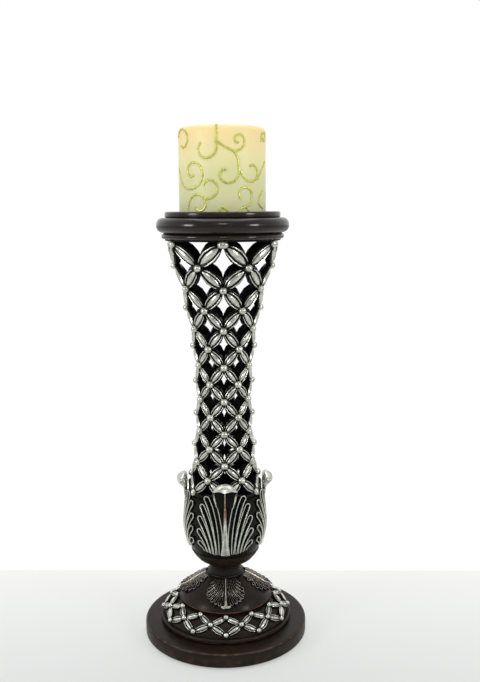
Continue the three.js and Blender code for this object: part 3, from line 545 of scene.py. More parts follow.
def neck_profile():
    low, high, radius = bottom("neck"), top("neck"), reach("neck")
    ring = 4 * MM
    cup = low + 16.9 * MM
    face = [(20.4 * MM, low + ring), (20.2 * MM, low + ring + 1 * MM), (20.2 * MM, cup - 0.6 * MM)]
    face += spline([
        (20.7 * MM, cup), (24.2 * MM, cup + 0.5 * MM), (28.3 * MM, cup + 2.4 * MM),
        (33.3 * MM, cup + 5.5 * MM), (35.2 * MM, cup + 7.6 * MM), (38.5 * MM, cup + 11.3 * MM),
        (40.4 * MM, cup + 14.4 * MM), (radius - 0.5 * MM, cup + 17.5 * MM),
        (radius, high - 1 * MM)], 4)
    return [
        (rod_hole(), low, 0),
        *arc(20.4 * MM, low + ring / 2, 2 * MM, ring / 2, -80, 90, 10, 0.4, 30),
        *[(r, z, 0.1) for r, z in face],
        (radius - 1 * MM, high, 0), (rod_hole(), high, 0)]


BOWL_SHAPE = [(41.5, 0.0), (46.6, 13.8), (49.2, 30.5), (48.1, 50.8), (45.8, 72.6)]
# The bowl's outer face from its foot to its rim, as (radius, height).
BOWL_FACE = spline([(r * MM, bottom("leaf_bowl") + z * MM) for r, z in BOWL_SHAPE], 8)


def bowl_profile():
    low, high = bottom("leaf_bowl"), top("leaf_bowl")
    seat, bore, floor = high - 8 * MM, 30 * MM, low + 26 * MM
    return [
        (rod_hole(), low, 0), *[(r, z, 0.0) for r, z in BOWL_FACE],
        (COLUMN_SEAT, high, 0), (COLUMN_SEAT, seat, 0), (bore, seat, 0), (bore, floor, 0),
        (rod_hole(), floor, 0)]


def plate_profile():
    low, high = bottom("candle_plate"), top("candle_plate")
    radius, rim, lip = reach("candle_plate"), 72.5 * MM, 68.2 * MM
    socket = HEAD_FLANGE + 0.3 * MM
    ceiling = low + 4.3 * MM
    roll_low = low + 7.3 * MM
    roll = 8.6 * MM
    lip_low = roll_low + 2 * roll
    seat = high - 4.2 * MM
    return [
        (0, ceiling, 0), (socket, ceiling, 0), (socket, low, 0),
        *arc(rim - 3.2 * MM, low + 3.1 * MM, 3.2 * MM, 3.1 * MM, -90, 70, 12, 0.3),
        (rim - 3 * MM, roll_low, 0),
        *arc(radius - 7.4 * MM, roll_low + roll, 7.4 * MM, roll, -84, 86, 22, 0.2),
        (lip - 1.6 * MM, lip_low, 0),
        *arc(lip - 2 * MM, lip_low + 1.6 * MM, 2 * MM, 1.6 * MM, -60, 0, 4, 0.1),
        *arc(lip - 2.2 * MM, high - 2.2 * MM, 2.2 * MM, 2.2 * MM, 0, 90, 8, 0.5),
        (CANDLE_RECESS, high, 0.2), (CANDLE_RECESS, seat, 0), (0, seat, 0)]


# ------------------------------------------------------------------ bead and petal net


def row_heights(sizes):
    """Heights of the column's rows: the pitch grows smoothly from the foot to the head."""
    last = sizes.column_rows - 1
    pitches = [1 + sizes.pitch_growth * (row / (last - 1)) ** 2 for row in range(last)]
    height = top("leaf_bowl") + FIRST_ROW
    heights = [height]
    for pitch in pitches:
        height += sizes.column_height * pitch / sum(pitches)
        heights.append(height)
    return heights


def column_radius(sizes, height):
    """Radius of the column's beads: an hourglass that flares most at the head."""
    low = top("leaf_bowl") + FIRST_ROW
    waist = low + sizes.waist_share * sizes.column_height
    if height > waist:
        share = (height - waist) / (low + sizes.column_height - waist)
        return sizes.column_waist + (sizes.column_head - sizes.column_waist) * share ** 2.15
    share = (waist - height) / (waist - low)
    return sizes.column_waist + (sizes.column_foot - sizes.column_waist) * share ** 2


def ring_table(name, rings):
    """One point for each ring of beads: its place holds (shift in steps, radius, height), and
    the attribute outward holds the direction of its beads at the front."""
    mesh = bpy.data.meshes.new(name)
    mesh.from_pydata([(shift, radius, height) for shift, radius, height, _ in rings], [], [])
    outward = mesh.attributes.new("outward", "FLOAT_VECTOR", "POINT")
    for place, (_, _, _, normal) in zip(outward.data, rings):
        place.vector = (0, -normal.x, normal.y)
    return new_object(name, mesh)


# Half section of a petal's plate, as (share of the half width, height in mm, tone): a black groove
# inside a fine silvered rim.
PLATE_SECTION = [(0.0, 0.0, 0), (0.63, 0.0, 0), (0.69, 1.15, 1), (0.79, 1.15, 1), (0.85, 0.1, 0),
                 (1.0, -1.2, 0)]
# The almond on it, as (place along the petal, share of its full width and height).
ALMOND_LINE = [(0.15, 0.06), (0.22, 0.52), (0.33, 0.86), (0.5, 1.0), (0.67, 0.86), (0.78, 0.52),
               (0.85, 0.06)]
ALMOND_SECTION = [(-1.0, -0.2, 0.3), (-0.62, 0.62, 1), (0.0, 1.0, 1), (0.62, 0.62, 1),
                  (1.0, -0.2, 0.3)]


def petal(name, fullness, depth, relief=1.0, stations=7):
    """A flat petal from (0, 0) to (1, 0): a plate with a fine rim on each side and a ridged almond
    on it. Its width is a share of its length, its heights are in metres and its back is flat."""
    shell = Shell()
    half = [(q, h * MM * relief, tone) for q, h, tone in PLATE_SECTION]
    section = [(-1.0, -depth, 0)] + [(-q, h, tone) for q, h, tone in half[:0:-1]] + half
    section.append((1.0, -depth, 0))
    rows, tones = [], []
    for station in range(stations):
        t = 0.5 - 0.5 * math.cos(math.pi * station / (stations - 1))
        width = fullness * (0.16 + 0.84 * math.sin(math.pi * t) ** 0.72)
        # The plate stops short of the beads' centres, and only its middle is silvered.
        along = 0.05 + 0.9 * t
        silvered = 1 < station < stations - 2
        rows.append([Vector((along, q * width, h)) for q, h, _ in section])
        tones.append([tone * silvered for _, _, tone in section])
    shell.add_grid(rows, tones, wrap_columns=True)
    across = len(section)
    for start in (0, (stations - 1) * across):
        shell.faces.append([start + i for i in range(across)])
    wide, high = 0.45 * fullness, 2.5 * MM * relief
    rows = [[Vector((along, q * wide * share, h * high * share ** 0.6 if h > 0 else h * MM))
             for q, h, _ in ALMOND_SECTION] for along, share in ALMOND_LINE]
    shell.add_grid(rows, [[tone for _, _, tone in ALMOND_SECTION]] * len(rows), wrap_columns=True)
    return shell.build(name)


def bead(name, radius, lift, depth, facets=14):
    """A round bead on a black post, pointing along +Z; its centre stands at the lift."""
    shell = Shell()
    post = radius * 0.8
    profile = [(0.0, -depth, 0), (post, -depth, 0), (post, lift - radius * 0.62, 0),
               *arc(0, lift, radius, radius, -22, 88, 6, 1.0)]
    rows = [[around(r, z, FULL_TURN * s / facets) for s in range(facets)] for r, z, _ in profile]
    shell.add_grid(rows, [[tone] * facets for _, _, tone in profile], wrap_columns=True)
    return shell.build(name)


def new_tree(name, inputs, output=("Geometry", "NodeSocketGeometry")):
    """An empty geometry tree with named inputs and one output, and what adds nodes to it."""
    tree = bpy.data.node_groups.new(name, "GeometryNodeTree")
    for label, kind in inputs.items():
        tree.interface.new_socket(label, in_out="INPUT", socket_type=kind)
    tree.interface.new_socket(output[0], in_out="OUTPUT", socket_type=output[1])
    return tree, partial(add_node, tree)


def turned_point_tree():
    """Node group: (turn, radius, height) becomes a point round the Z axis, from the front."""
    tree, add = new_tree("Turned Point", {"Polar": "NodeSocketVector"}, ("Point", "NodeSocketVector"))
    polar = add("ShaderNodeSeparateXYZ", {0: add("NodeGroupInput")["Polar"]})
    front = add("ShaderNodeMath", {0: polar[1], 1: -1.0}, operation="MULTIPLY")[0]
    flat = add("ShaderNodeCombineXYZ", {1: front, 2: polar[2]})[0]
    turned = add("ShaderNodeVectorRotate", {"Vector": flat, "Angle": polar[0]},
                 rotation_type="Z_AXIS")[0]
    add("NodeGroupOutput", {"Point": turned})
    return tree


COPY_MARKS = ("start", "end", "facing", "wide")  # vectors that a net's copies carry


def copies(add, points, shape, **marks):
    """Real copies of an object, one at each point, that carry the vectors marked on the points."""
    for label, value in marks.items():
        points = add("GeometryNodeStoreNamedAttribute", {
            "Geometry": points, "Name": label, "Value": value}, data_type="FLOAT_VECTOR")[0]
    piece = add("GeometryNodeObjectInfo", {"Object": shape})["Geometry"]
    placed = add("GeometryNodeInstanceOnPoints", {"Points": points, "Instance": piece})[0]
    return add("GeometryNodeRealizeInstances", {0: placed})[0]


def moved(add, geometry, place, *moves):
    """Geometry whose points go to a place, and from there by each (direction, distance)."""
    for direction, distance in moves:
        place = add("ShaderNodeVectorMath", {0: direction, 1: distance, 2: place},
                    operation="MULTIPLY_ADD")[0]
    return add("GeometryNodeSetPosition", {"Geometry": geometry, "Position": place})[0]


def painted(add, finish, *parts):
    """Joins parts, paints them with one finish and puts them on the tree's output."""
    joined = add("GeometryNodeJoinGeometry", {0: list(parts)})[0]
    whole = add("GeometryNodeRealizeInstances", {0: joined})[0]
    add("NodeGroupOutput", {
        "Geometry": add("GeometryNodeSetMaterial", {"Geometry": whole, "Material": finish})[0]})


def net_tree():
    """Geometry tree: a net of beads and petals on a surface of revolution. It reads one point per
    ring of beads, lays a petal from each bead to its two neighbours in the next ring, and joins
    what ties the net at its ends."""
    turned = turned_point_tree()
    tree, add = new_tree("Bead and Petal Net", {
        "Geometry": "NodeSocketGeometry", "Sides": "NodeSocketInt", "Petal": "NodeSocketObject",
        "Bead": "NodeSocketObject", "Ties": "NodeSocketObject", "Head Stretch": "NodeSocketFloat",
        "Finish": "NodeSocketMaterial"})
    source = add("NodeGroupInput")
    rings = source["Geometry"]
    position = add("GeometryNodeInputPosition")[0]
    outward, start, end, facing, wide = [
        add("GeometryNodeInputNamedAttribute", {"Name": label}, data_type="FLOAT_VECTOR")[0]
        for label in ("outward", *COPY_MARKS)]

    # Two petals lean right and left from each bead but the last ring's, and count round each ring.
    whole = {
        "index": add("GeometryNodeInputIndex")[0], "sides": source["Sides"],
        "rings": add("GeometryNodeAttributeDomainSize", {"Geometry": rings}, component="MESH")[0]}
    for label, operation, first, second in (
            ("pairs", "MULTIPLY", "sides", 2), ("gaps", "SUBTRACT", "rings", 1),
            ("petals", "MULTIPLY", "gaps", "pairs"), ("row", "DIVIDE_FLOOR", "index", "pairs"),
            ("next row", "ADD", "row", 1), ("left", "MODULO", "index", 2),
            ("half", "DIVIDE_FLOOR", "index", 2), ("place", "MODULO", "half", "sides"),
            ("beads", "MULTIPLY", "rings", "sides"), ("ring", "DIVIDE_FLOOR", "index", "sides"),
            ("spot", "MODULO", "index", "sides")):
        whole[label] = add("FunctionNodeIntegerMath", {
            0: whole.get(first, first), 1: whole.get(second, second)}, operation=operation)[0]
    low, high, at, direction = [
        add("GeometryNodeSampleIndex", {"Geometry": rings, "Value": value, "Index": whole[label]},
            data_type="FLOAT_VECTOR")[0]
        for value, label in (
            (position, "row"), (position, "next row"), (position, "ring"), (outward, "ring"))]
    low_parts, high_parts, at_parts = [
        add("ShaderNodeSeparateXYZ", {0: ring}) for ring in (low, high, at)]
    lean = add("ShaderNodeMath", {0: 0.5, 1: whole["left"]}, operation="SUBTRACT")[0]
    home, spot = [
        add("ShaderNodeMath", {0: whole[label], 1: parts[0]}, operation="ADD")[0]
        for label, parts in (("place", low_parts), ("spot", at_parts))]
    away = add("ShaderNodeMath", {0: home, 1: lean}, operation="ADD")[0]
    step = add("ShaderNodeMath", {0: FULL_TURN, 1: source["Sides"]}, operation="DIVIDE")[0]
    petal_start, petal_end, bead_centre = [
        add("ShaderNodeCombineXYZ", {
            0: add("ShaderNodeMath", {0: turn, 1: step}, operation="MULTIPLY")[0],
            1: parts[1], 2: parts[2]})[0]
        for turn, parts in ((home, low_parts), (away, high_parts), (spot, at_parts))]

    # A petal is drawn from 0 to 1 along X: each of its points goes to its share of the way.
    petals = copies(add, add("GeometryNodePoints", {"Count": whole["petals"]})[0], source["Petal"],
                    start=petal_start, end=petal_end)
    local = add("ShaderNodeSeparateXYZ", {0: position})
    just_before = add("ShaderNodeMath", {0: local[0], 1: 0.05}, operation="SUBTRACT")[0]
    polar_here, polar_before = [
        add("ShaderNodeMix", {0: share, 4: start, 5: end}, data_type="VECTOR",
            clamp_factor=False)[1] for share in (local[0], just_before)]
    here, before, foot, tip = [
        add("GeometryNodeGroup", {0: polar}, node_tree=turned)[0]
        for polar in (polar_here, polar_before, start, end)]
    climb = add("ShaderNodeSeparateXYZ", {
        0: add("ShaderNodeVectorMath", {0: start, 1: end}, operation="SUBTRACT")[0]})
    upright = add("ShaderNodeVectorRotate", {
        "Vector": add("ShaderNodeCombineXYZ", {1: climb[2], 2: climb[1]})[0],
        "Angle": add("ShaderNodeSeparateXYZ", {0: polar_here})[0]}, rotation_type="Z_AXIS")[0]
    out = add("ShaderNodeVectorMath", {0: upright}, operation="NORMALIZE")[0]
    along = add("ShaderNodeVectorMath", {0: here, 1: before}, operation="SUBTRACT")[0]
    sideways = add("ShaderNodeVectorMath", {0: out, 1: along}, operation="CROSS_PRODUCT")[0]
    across = add("ShaderNodeVectorMath", {0: sideways}, operation="NORMALIZE")[0]
    length = add("ShaderNodeVectorMath", {0: foot, 1: tip}, operation="DISTANCE")["Value"]
    width = add("ShaderNodeMath", {0: local[1], 1: length}, operation="MULTIPLY")[0]
    petal_net = moved(add, petals, here, (across, width), (out, local[2]))

    # A bead stands on each place of each ring, and is wider round the top ring.
    is_top = add("ShaderNodeMath", {0: whole["ring"], 1: whole["gaps"], 2: 0.5},
                 operation="COMPARE")[0]
    stretch = add("ShaderNodeMix", {0: is_top, 2: 1.0, 3: source["Head Stretch"]},
                  data_type="FLOAT")[0]
    beads = copies(add, add("GeometryNodePoints", {"Count": whole["beads"]})[0], source["Bead"],
                   start=bead_centre, facing=direction,
                   wide=add("ShaderNodeCombineXYZ", {0: stretch})[0])
    turn = add("ShaderNodeSeparateXYZ", {0: start})[0]
    pole, level = [
        add("ShaderNodeVectorRotate", {"Vector": arrow, "Angle": turn}, rotation_type="Z_AXIS")[0]
        for arrow in (facing, (1.0, 0.0, 0.0))]
    rise = add("ShaderNodeVectorMath", {0: pole, 1: level}, operation="CROSS_PRODUCT")[0]
    widened = add("ShaderNodeMath", {
        0: local[0], 1: add("ShaderNodeSeparateXYZ", {0: wide})[0]}, operation="MULTIPLY")[0]
    bead_net = moved(add, beads, foot, (level, widened), (rise, local[1]), (pole, local[2]))

    ties = add("GeometryNodeObjectInfo", {"Object": source["Ties"]})["Geometry"]
    painted(add, source["Finish"], petal_net, bead_net, ties)
    return tree


def grow(name, tree, base, values, *helpers):
    """Runs a geometry tree on a base object and keeps its result as a plain mesh object."""
    modifier = base.modifiers.new(tree.name, "NODES")
    modifier.node_group = tree
    for item in tree.interface.items_tree:
        if item.in_out == "INPUT" and item.name in values:
            modifier[item.identifier] = values[item.name]
    depsgraph = bpy.context.evaluated_depsgraph_get()
    mesh = bpy.data.meshes.new_from_object(base.evaluated_get(depsgraph), depsgraph=depsgraph)
    base.modifiers.remove(modifier)
    for spent in (base, *helpers):
        bpy.data.objects.remove(spent)
    for label in COPY_MARKS:
        if label in mesh.attributes:
            mesh.attributes.remove(mesh.attributes[label])
    mesh.name = name
    return new_object(name, mesh)


# ------------------------------------------------------------------ leaves

TIP_STEPS = 8  # round the tip of a lobe


def lobe(shell, surface, centre, widths, section, warm=0.0, closed_tip=True):
    """A raised lobe along a flat centre line, as nested rings from its edge in to that line.
    surface turns (across, along, rise) into a point, and the section is a list of
    (distance in from the edge, rise, tone). A lobe narrower than that closes at its centre."""
    spine, sideways = [], []
    last = len(centre) - 1
    for i in range(last + 1):
        ahead = Vector(centre[min(i + 1, last)]) - Vector(centre[max(i - 1, 0)])
        ahead.normalize()
        spine.append(Vector(centre[i]))
        sideways.append(Vector((ahead.y, -ahead.x)))
    path = [(spine[i], -sideways[i], widths[i]) for i in range(last + 1)]
    if closed_tip:
        forward = Vector((-sideways[last].y, sideways[last].x))
        for step in range(1, TIP_STEPS):
            angle = math.pi * step / TIP_STEPS
            direction = -sideways[last] * math.cos(angle) + forward * math.sin(angle)
            path.append((spine[last], direction, widths[last]))
    path += [(spine[i], sideways[i], widths[i]) for i in range(last, -1, -1)]
    rows, tones, warms = [], [], []
    for inset, rise, tone in section:
        flats = [spot + direction * max(width - inset, 0.0) for spot, direction, width in path]
        rows.append([surface(flat.x, flat.y, rise) for flat in flats])
        tones.append([tone] * len(flats))
        warms.append([warm(flat.y) if callable(warm) else warm for flat in flats])
    shell.add_grid(rows, tones, warms, wrap_columns=True)


def bend(start, pull, end, steps):
    """Points of a quadratic curve in the flat."""
    start, pull, end = Vector(start), Vector(pull), Vector(end)
    return [start * (1 - t) ** 2 + pull * 2 * t * (1 - t) + end * t ** 2
            for t in [i / steps for i in range(steps + 1)]]


def finger(shell, surface, line, widths, power, steps, section, warm=0.0):
    """A lobe bent along (foot, pull, tip), whose half width grows from the first to the second."""
    foot, pull, tip = line
    narrow, wide = widths
    centre = bend(foot, pull, tip - (tip - pull).normalized() * wide, steps)
    half_widths = [narrow + (wide - narrow) * (i / steps) ** power for i in range(steps + 1)]
    lobe(shell, surface, centre, half_widths, section, warm)


def turn_about_z(points, turn):
    cosine, sine = math.cos(turn), math.sin(turn)
    return [(x * cosine - y * sine, x * sine + y * cosine, z) for x, y, z in points]


# ------------------------------------------------------------------ cup leaves

CUP_LEAF_RADIUS = 51.0 * MM  # angles on the leaf were read at this radius
# Tips and feet of the five lobes on one side, as (degrees from the spine, mm above the bowl's foot).
CUP_TIPS = [(28.2, 80.5), (36.2, 69.3), (39.6, 54.2), (40.2, 38.4), (40.8, 22.5)]
CUP_FEET = [(10.6, 7.0), (15.6, 7.0), (20.6, 8.0), (25.6, 9.2), (30.4, 10.6)]
# Half widths and heights, in mm above the bowl's foot, of the middle lobe and of the rib on it.
HOOD_LOBE_WIDTHS, HOOD_LOBE_HEIGHTS = (4.6, 4.2, 4.1, 4.6, 5.7, 8.0, 10.3), (7, 18, 28, 38, 46, 58, 67)
RIB_WIDTHS, RIB_HEIGHTS = (6.3, 4.9, 3.6, 2.7, 1.8, 1.4, 1.2), (6, 14, 24, 34, 46, 60, 68)


def cup_surface(across, along, rise):
    """A point on the front cup leaf: across in metres round it, along is the height."""
    low, high = bottom("leaf_bowl"), top("leaf_bowl")
    height = min(max(along, low), high)
    radius = BOWL_FACE[-1][0]
    for (r0, z0), (r1, z1) in zip(BOWL_FACE, BOWL_FACE[1:]):
        if z0 <= height <= z1:
            radius = r0 + (r1 - r0) * (height - z0) / (z1 - z0)
            break
    radius += 0.3 * MM + 1.8 * MM * smoothstep(along, high - 8 * MM, high + 10 * MM)
    return around(radius + rise, along, across / CUP_LEAF_RADIUS)


def cup_leaf(sizes):
    """A lobed leaf against the bowl, whose tip rolls over into a silvered hood."""
    shell = Shell()
    low, high = bottom("leaf_bowl"), top("leaf_bowl")
    degree = math.radians(1) * CUP_LEAF_RADIUS
    ridge = sizes.leaf_ridge
    field = 1.1 * MM
    line = [(-0.1 * MM, 0.0, 0), (0.0, field, 0.1), (0.3 * MM, field + ridge, 1.0),
            (1.2 * MM, field + ridge, 1.0), (1.7 * MM, field + 0.1 * MM, 0)]
    section = [*line, (DEEP, field + 0.3 * MM, 0), (DEEP, 0.0, 0), (-0.1 * MM, 0.0, 0)]
    for side in (-1, 1):
        for number, ((tip_turn, tip_rise), (foot_turn, foot_rise)) in enumerate(
                zip(CUP_TIPS, CUP_FEET)):
            foot = Vector((side * foot_turn * degree, low + foot_rise * MM))
            tip = Vector((side * tip_turn * degree, low + tip_rise * MM))
            pull = Vector((side * (foot_turn - 1) * degree,
                           foot.y + (tip.y - foot.y) * (0.52 - 0.02 * number)))
            widths = (2.0 * MM, (4.4 - 0.12 * number) * MM)
            finger(shell, cup_surface, (foot, pull, tip), widths, 0.8, 14, section)
    # The middle lobe, whose ridge runs up into the hood, and its raised spine.
    rib = [(0.0, 0.0, 0), (0.1 * MM, field + 0.5 * MM, 0.9), (1.2 * MM, field + 1.2 * MM, 1.0),
           (DEEP, field + 1.7 * MM, 1.0), (DEEP, 0.0, 0), (0.0, 0.0, 0)]
    for half_widths, heights, across, options in (
            (HOOD_LOBE_WIDTHS, HOOD_LOBE_HEIGHTS, section, {"closed_tip": False}),
            (RIB_WIDTHS, RIB_HEIGHTS, rib,
             {"warm": lambda height: 0.8 * smoothstep(height, low + 44 * MM, low + 60 * MM)})):
        outline = spline([(w * MM, low + h * MM) for w, h in zip(half_widths, heights)], 3)
        lobe(shell, cup_surface, [(0.0, h) for _, h in outline], [w for w, _ in outline], across,
             **options)
    hood(shell, high)
    return shell


# The hood's faces down its middle and down its edge, as (radius, mm above the bowl's rim), from
# the throat over the crown to the lip. The edge only flares; the middle arches high above it.
HOOD_OUTER = [
    [(48.3, -6), (48.3, 5), (47.0, 15), (46.9, 21.8), (50.4, 24.8), (55.2, 22.0), (59.2, 16.0)],
    [(48.2, -6), (48.3, -1), (48.7, 3), (49.8, 7.6), (52.0, 11.8), (55.4, 15.0), (59.6, 17.0)]]
HOOD_INNER = [
    [(49.0, -6), (49.9, 5), (49.2, 14.0), (49.4, 19.4), (51.6, 21.6), (54.6, 19.6), (58.3, 15.4)],
    [(48.9, -6), (49.5, -2), (50.4, 1.4), (51.4, 5.6), (53.2, 9.6), (56.2, 13.0), (59.2, 16.2)]]
HOOD_WIDTHS = [10.3, 11.5, 12.6, 13.7, 14.5, 15.0, 15.2]


def hood(shell, rim, columns=20):
    """A cobra-like hood over the middle lobe's tip: silvered outside, black in its recess, with
    the leaf's copper spine running up into it."""
    faces = []
    for middle, edge in (HOOD_OUTER, HOOD_INNER):
        faces.append(spline([(*m, *e, w) for m, e, w in zip(middle, edge, HOOD_WIDTHS)], 4))
    outer, inner = faces
    steps = len(outer)
    rows, tones, warms = [], [], []
    for place, (r0, z0, r1, z1, width) in enumerate(outer + inner[::-1]):
        recess = place >= steps
        share_up = (2 * steps - 1 - place if recess else place) / (steps - 1)
        silver = smoothstep(share_up, 0.93, 0.98) if recess else smoothstep(share_up, 0.3, 0.4)
        row, row_tones, row_warms = [], [], []
        for column in range(columns + 1):
            share = 2 * column / columns - 1
            spine = recess and column == columns // 2 and share_up < 0.8
            blend = 1 - math.sqrt(max(1 - share * share, 0.0))
            radius = (r0 + (r1 - r0) * blend + 1.1 * spine) * MM
            wave = 1.6 * math.sin(math.pi * abs(share)) ** 2 * smoothstep(share_up, 0.75, 1.0)
            height = rim + (z0 + (z1 - z0) * blend + wave) * MM
            row.append(around(radius, height, share * width * MM / radius))
            row_tones.append(1.0 if spine else max(silver, smoothstep(abs(share), 0.88, 0.94)))
            row_warms.append(0.8 if spine else 0.0)
        rows.append(row)
        tones.append(row_tones)
        warms.append(row_warms)
    shell.add_grid(rows, tones, warms, wrap_rows=True)
    across = columns + 1
    base = len(shell.points) - 2 * steps * across
    for column in (0, columns):
        for place in range(steps - 1):
            far = 2 * steps - 1 - place
            shell.faces.append([base + i * across + column
                                for i in (place, place + 1, far - 1, far)])


# ------------------------------------------------------------------ foot leaves

# Tips and roots of the fingers on one side, as (mm across, share of the way from the neck to the
# lip) and mm across.
FOOT_TIPS = [(19.5, 0.24), (23.5, 0.42), (24.6, 0.55), (22.6, 0.68), (18.8, 0.78), (13.8, 0.86),
             (8.4, 0.92)]
FOOT_ROOTS = [13.0, 11.0, 9.2, 7.4, 5.5, 3.8, 2.2]


def foot_surface(across, along, rise):
    """A point on the front foot leaf: along runs from the neck (0) to past the rim (1)."""
    share = 1 - min(along, 1.0) * 1.02
    radius, height = dome_radius_height(max(share, 0.0))
    if share < 0 or along > 1:
        radius += (along - 1) * 20 * MM
    lift = 0.4 * MM + 5.2 * MM * smoothstep(along, 0.45, 1.0)
    radius += 3.2 * MM * smoothstep(along, 0.6, 1.0)
    turn = across / max(radius, 1 * MM)
    sag = 0.35 * (across / (25 * MM)) ** 2 * lift
    return around(radius, height + 0.3 * MM + lift - sag + rise, turn)


def foot_leaf(sizes):
    """A fan of narrow fingers from the neck down over the dome, with a small rolled tip."""
    shell = Shell()
    ridge = sizes.leaf_ridge * 1.1
    length = 40 * MM
    under = -1.6 * MM  # the leaf's back, sunk in the dome
    section = [
        (-0.1 * MM, under, 0), (0.0, 0.0, 0), (0.35 * MM, ridge, 0.58), (0.5 * MM, ridge, 0.58),
        (1.0 * MM, 0.1 * MM, 0), (DEEP, 0.0, 0), (DEEP, under, 0),
        (-0.1 * MM, under, 0)]

    def surface(across, along, rise):
        return foot_surface(across, along / length, rise)

    for side in (-1, 1):
        for (tip_across, tip_share), root_across in zip(FOOT_TIPS, FOOT_ROOTS):
            root = Vector((side * root_across * MM, 0.02 * length))
            tip = Vector((side * tip_across * MM, tip_share * length))
            pull = Vector((root.x * 1.1, root.y + (tip.y - root.y) * 0.5))
            finger(shell, surface, (root, pull, tip), (0.45 * MM, 2.1 * MM), 1.5, 10, section, 0.2)
    rib = [(0.0, under, 0), (0.1 * MM, 0.3 * MM, 0.4), (0.7 * MM, ridge * 1.2, 0.9),
           (DEEP, ridge * 1.4, 1.0), (DEEP, under, 0), (0.0, under, 0)]
    spine = [(0.0, share * length) for share in (0.0, 0.15, 0.3, 0.5, 0.7, 0.85, 0.95)]
    lobe(shell, surface, spine, [w * MM for w in (1.0, 1.0, 1.0, 1.1, 1.4, 1.9, 2.4)], rib, warm=0.2)
    roll = [(across * MM, share * length)
            for across, share in ((-5.4, 0.93), (-3.4, 0.97), (0.0, 0.985), (3.4, 0.97), (5.4, 0.93))]
    lobe(shell, surface, roll, [w * MM for w in (0.8, 1.5, 1.7, 1.5, 0.8)], rib, warm=0.1)
    return shell


# ------------------------------------------------------------------ candle

# Curls piped on the wax, in mm: (start across, start up, eye across, eye up, turn, end share,
# tightening). A turn is in degrees, anticlockwise above zero.
CURLS = [
    (-6.6, 81.4, -19.0, 73.5, -265, 0.58, 0.5),
    (26.2, 80.7, 18.4, 82.4, 290, 0.30, 1.0),
    (18.6, 53.2, 4.5, 46.0, -304, 0.25, 0.8),
    (18.9, 51.9, 36.5, 48.0, 313, 0.38, 0.4),
    (-68.7, 53.2, -37.0, 48.0, 495, 0.12, 0.45),
    (-44.9, 5.1, -28.0, 11.5, -358, 0.27, 0.6),
    (-22.6, 18.8, -15.5, 31.0, 287, 0.45, 0.7),
    (28.1, 8.9, 25.5, 22.5, 303, 0.41, 0.7),
    (-68.7, 88.0, -54.5, 84.0, -289, 0.5, 0.8),
    (54.0, 82.0, 61.0, 87.0, -400, 0.3, 0.7),
]
# Stems and links between curls, as points in mm.
STEMS = [
    [(-6.3, 99.0), (-6.2, 90.0), (-6.6, 81.4)],
    [(-6.6, 81.4), (2.8, 75.0), (12.9, 70.5)],
    [(12.9, 70.5), (20.5, 72.0), (25.0, 76.5), (26.2, 80.7)],
    [(12.9, 70.5), (18.0, 62.0), (18.6, 53.2)],
    [(45.2, 39.7), (54.3, 50.6), (64.2, 60.2)],
    [(57.1, 27.5), (48.1, 17.3), (50.5, 10.9), (58.7, 7.6)],
    [(-6.2, 3.0), (0.4, 8.5), (7.0, 3.2)],
    [(18.4, 3.0), (22.5, 7.4), (28.1, 8.9), (33.0, 3.4)],
]


def curl(start_across, start_up, eye_across, eye_up, turn, end_share, tightening, steps=30):
    """A spiral in the flat from its start in to its eye."""
    arm = Vector((start_across - eye_across, start_up - eye_up))
    angle = math.atan2(arm.y, arm.x)
    points = []
    for step in range(steps + 1):
        share = step / steps
        radius = arm.length * (1 - (1 - end_share) * share ** tightening)
        here = angle + math.radians(turn) * share
        points.append((eye_across + radius * math.cos(here), eye_up + radius * math.sin(here)))
    return points


def scroll_tree():
    """Geometry tree: flat curves, drawn with X round the candle and Y up it, are piped with a
    flattened bead of paint that thins towards its end, and bent round a cylinder."""
    tree, add = new_tree("Piped Scrolls", {
        "Geometry": "NodeSocketGeometry", "Radius": "NodeSocketFloat", "Foot": "NodeSocketFloat",
        "Bead": "NodeSocketFloat", "Finish": "NodeSocketMaterial"})
    source = add("NodeGroupInput")
    share = add("GeometryNodeSplineParameter")["Factor"]
    taper = add("ShaderNodeMath", {0: share, 1: -0.45, 2: 1.0}, operation="MULTIPLY_ADD")[0]
    level = add("GeometryNodeSetCurveNormal", {"Curve": source["Geometry"]}, mode="Z_UP")[0]
    thinned = add("GeometryNodeSetCurveRadius", {"Curve": level, "Radius": taper})[0]
    round_bead = add("GeometryNodeCurvePrimitiveCircle", {
        "Resolution": 10, "Radius": source["Bead"]}, mode="RADIUS")[0]
    flat_bead = add("GeometryNodeTransform", {"Geometry": round_bead, "Scale": (1.0, 0.55, 1.0)})[0]
    piped = add("GeometryNodeCurveToMesh", {
        "Curve": thinned, "Profile Curve": flat_bead, "Fill Caps": True})[0]
    flat = add("ShaderNodeSeparateXYZ", {0: add("GeometryNodeInputPosition")[0]})
    turn = add("ShaderNodeMath", {0: flat[0], 1: source["Radius"]}, operation="DIVIDE")[0]
    height, reached = [
        add("ShaderNodeMath", {0: part, 1: source[label]}, operation="ADD")[0]
        for part, label in ((flat[1], "Foot"), (flat[2], "Radius"))]
    polar = add("ShaderNodeCombineXYZ", {0: turn, 1: reached, 2: height})[0]
    bent = add("GeometryNodeGroup", {0: polar}, node_tree=bpy.data.node_groups["Turned Point"])[0]
    painted(add, source["Finish"], moved(add, piped, bent))
    return tree


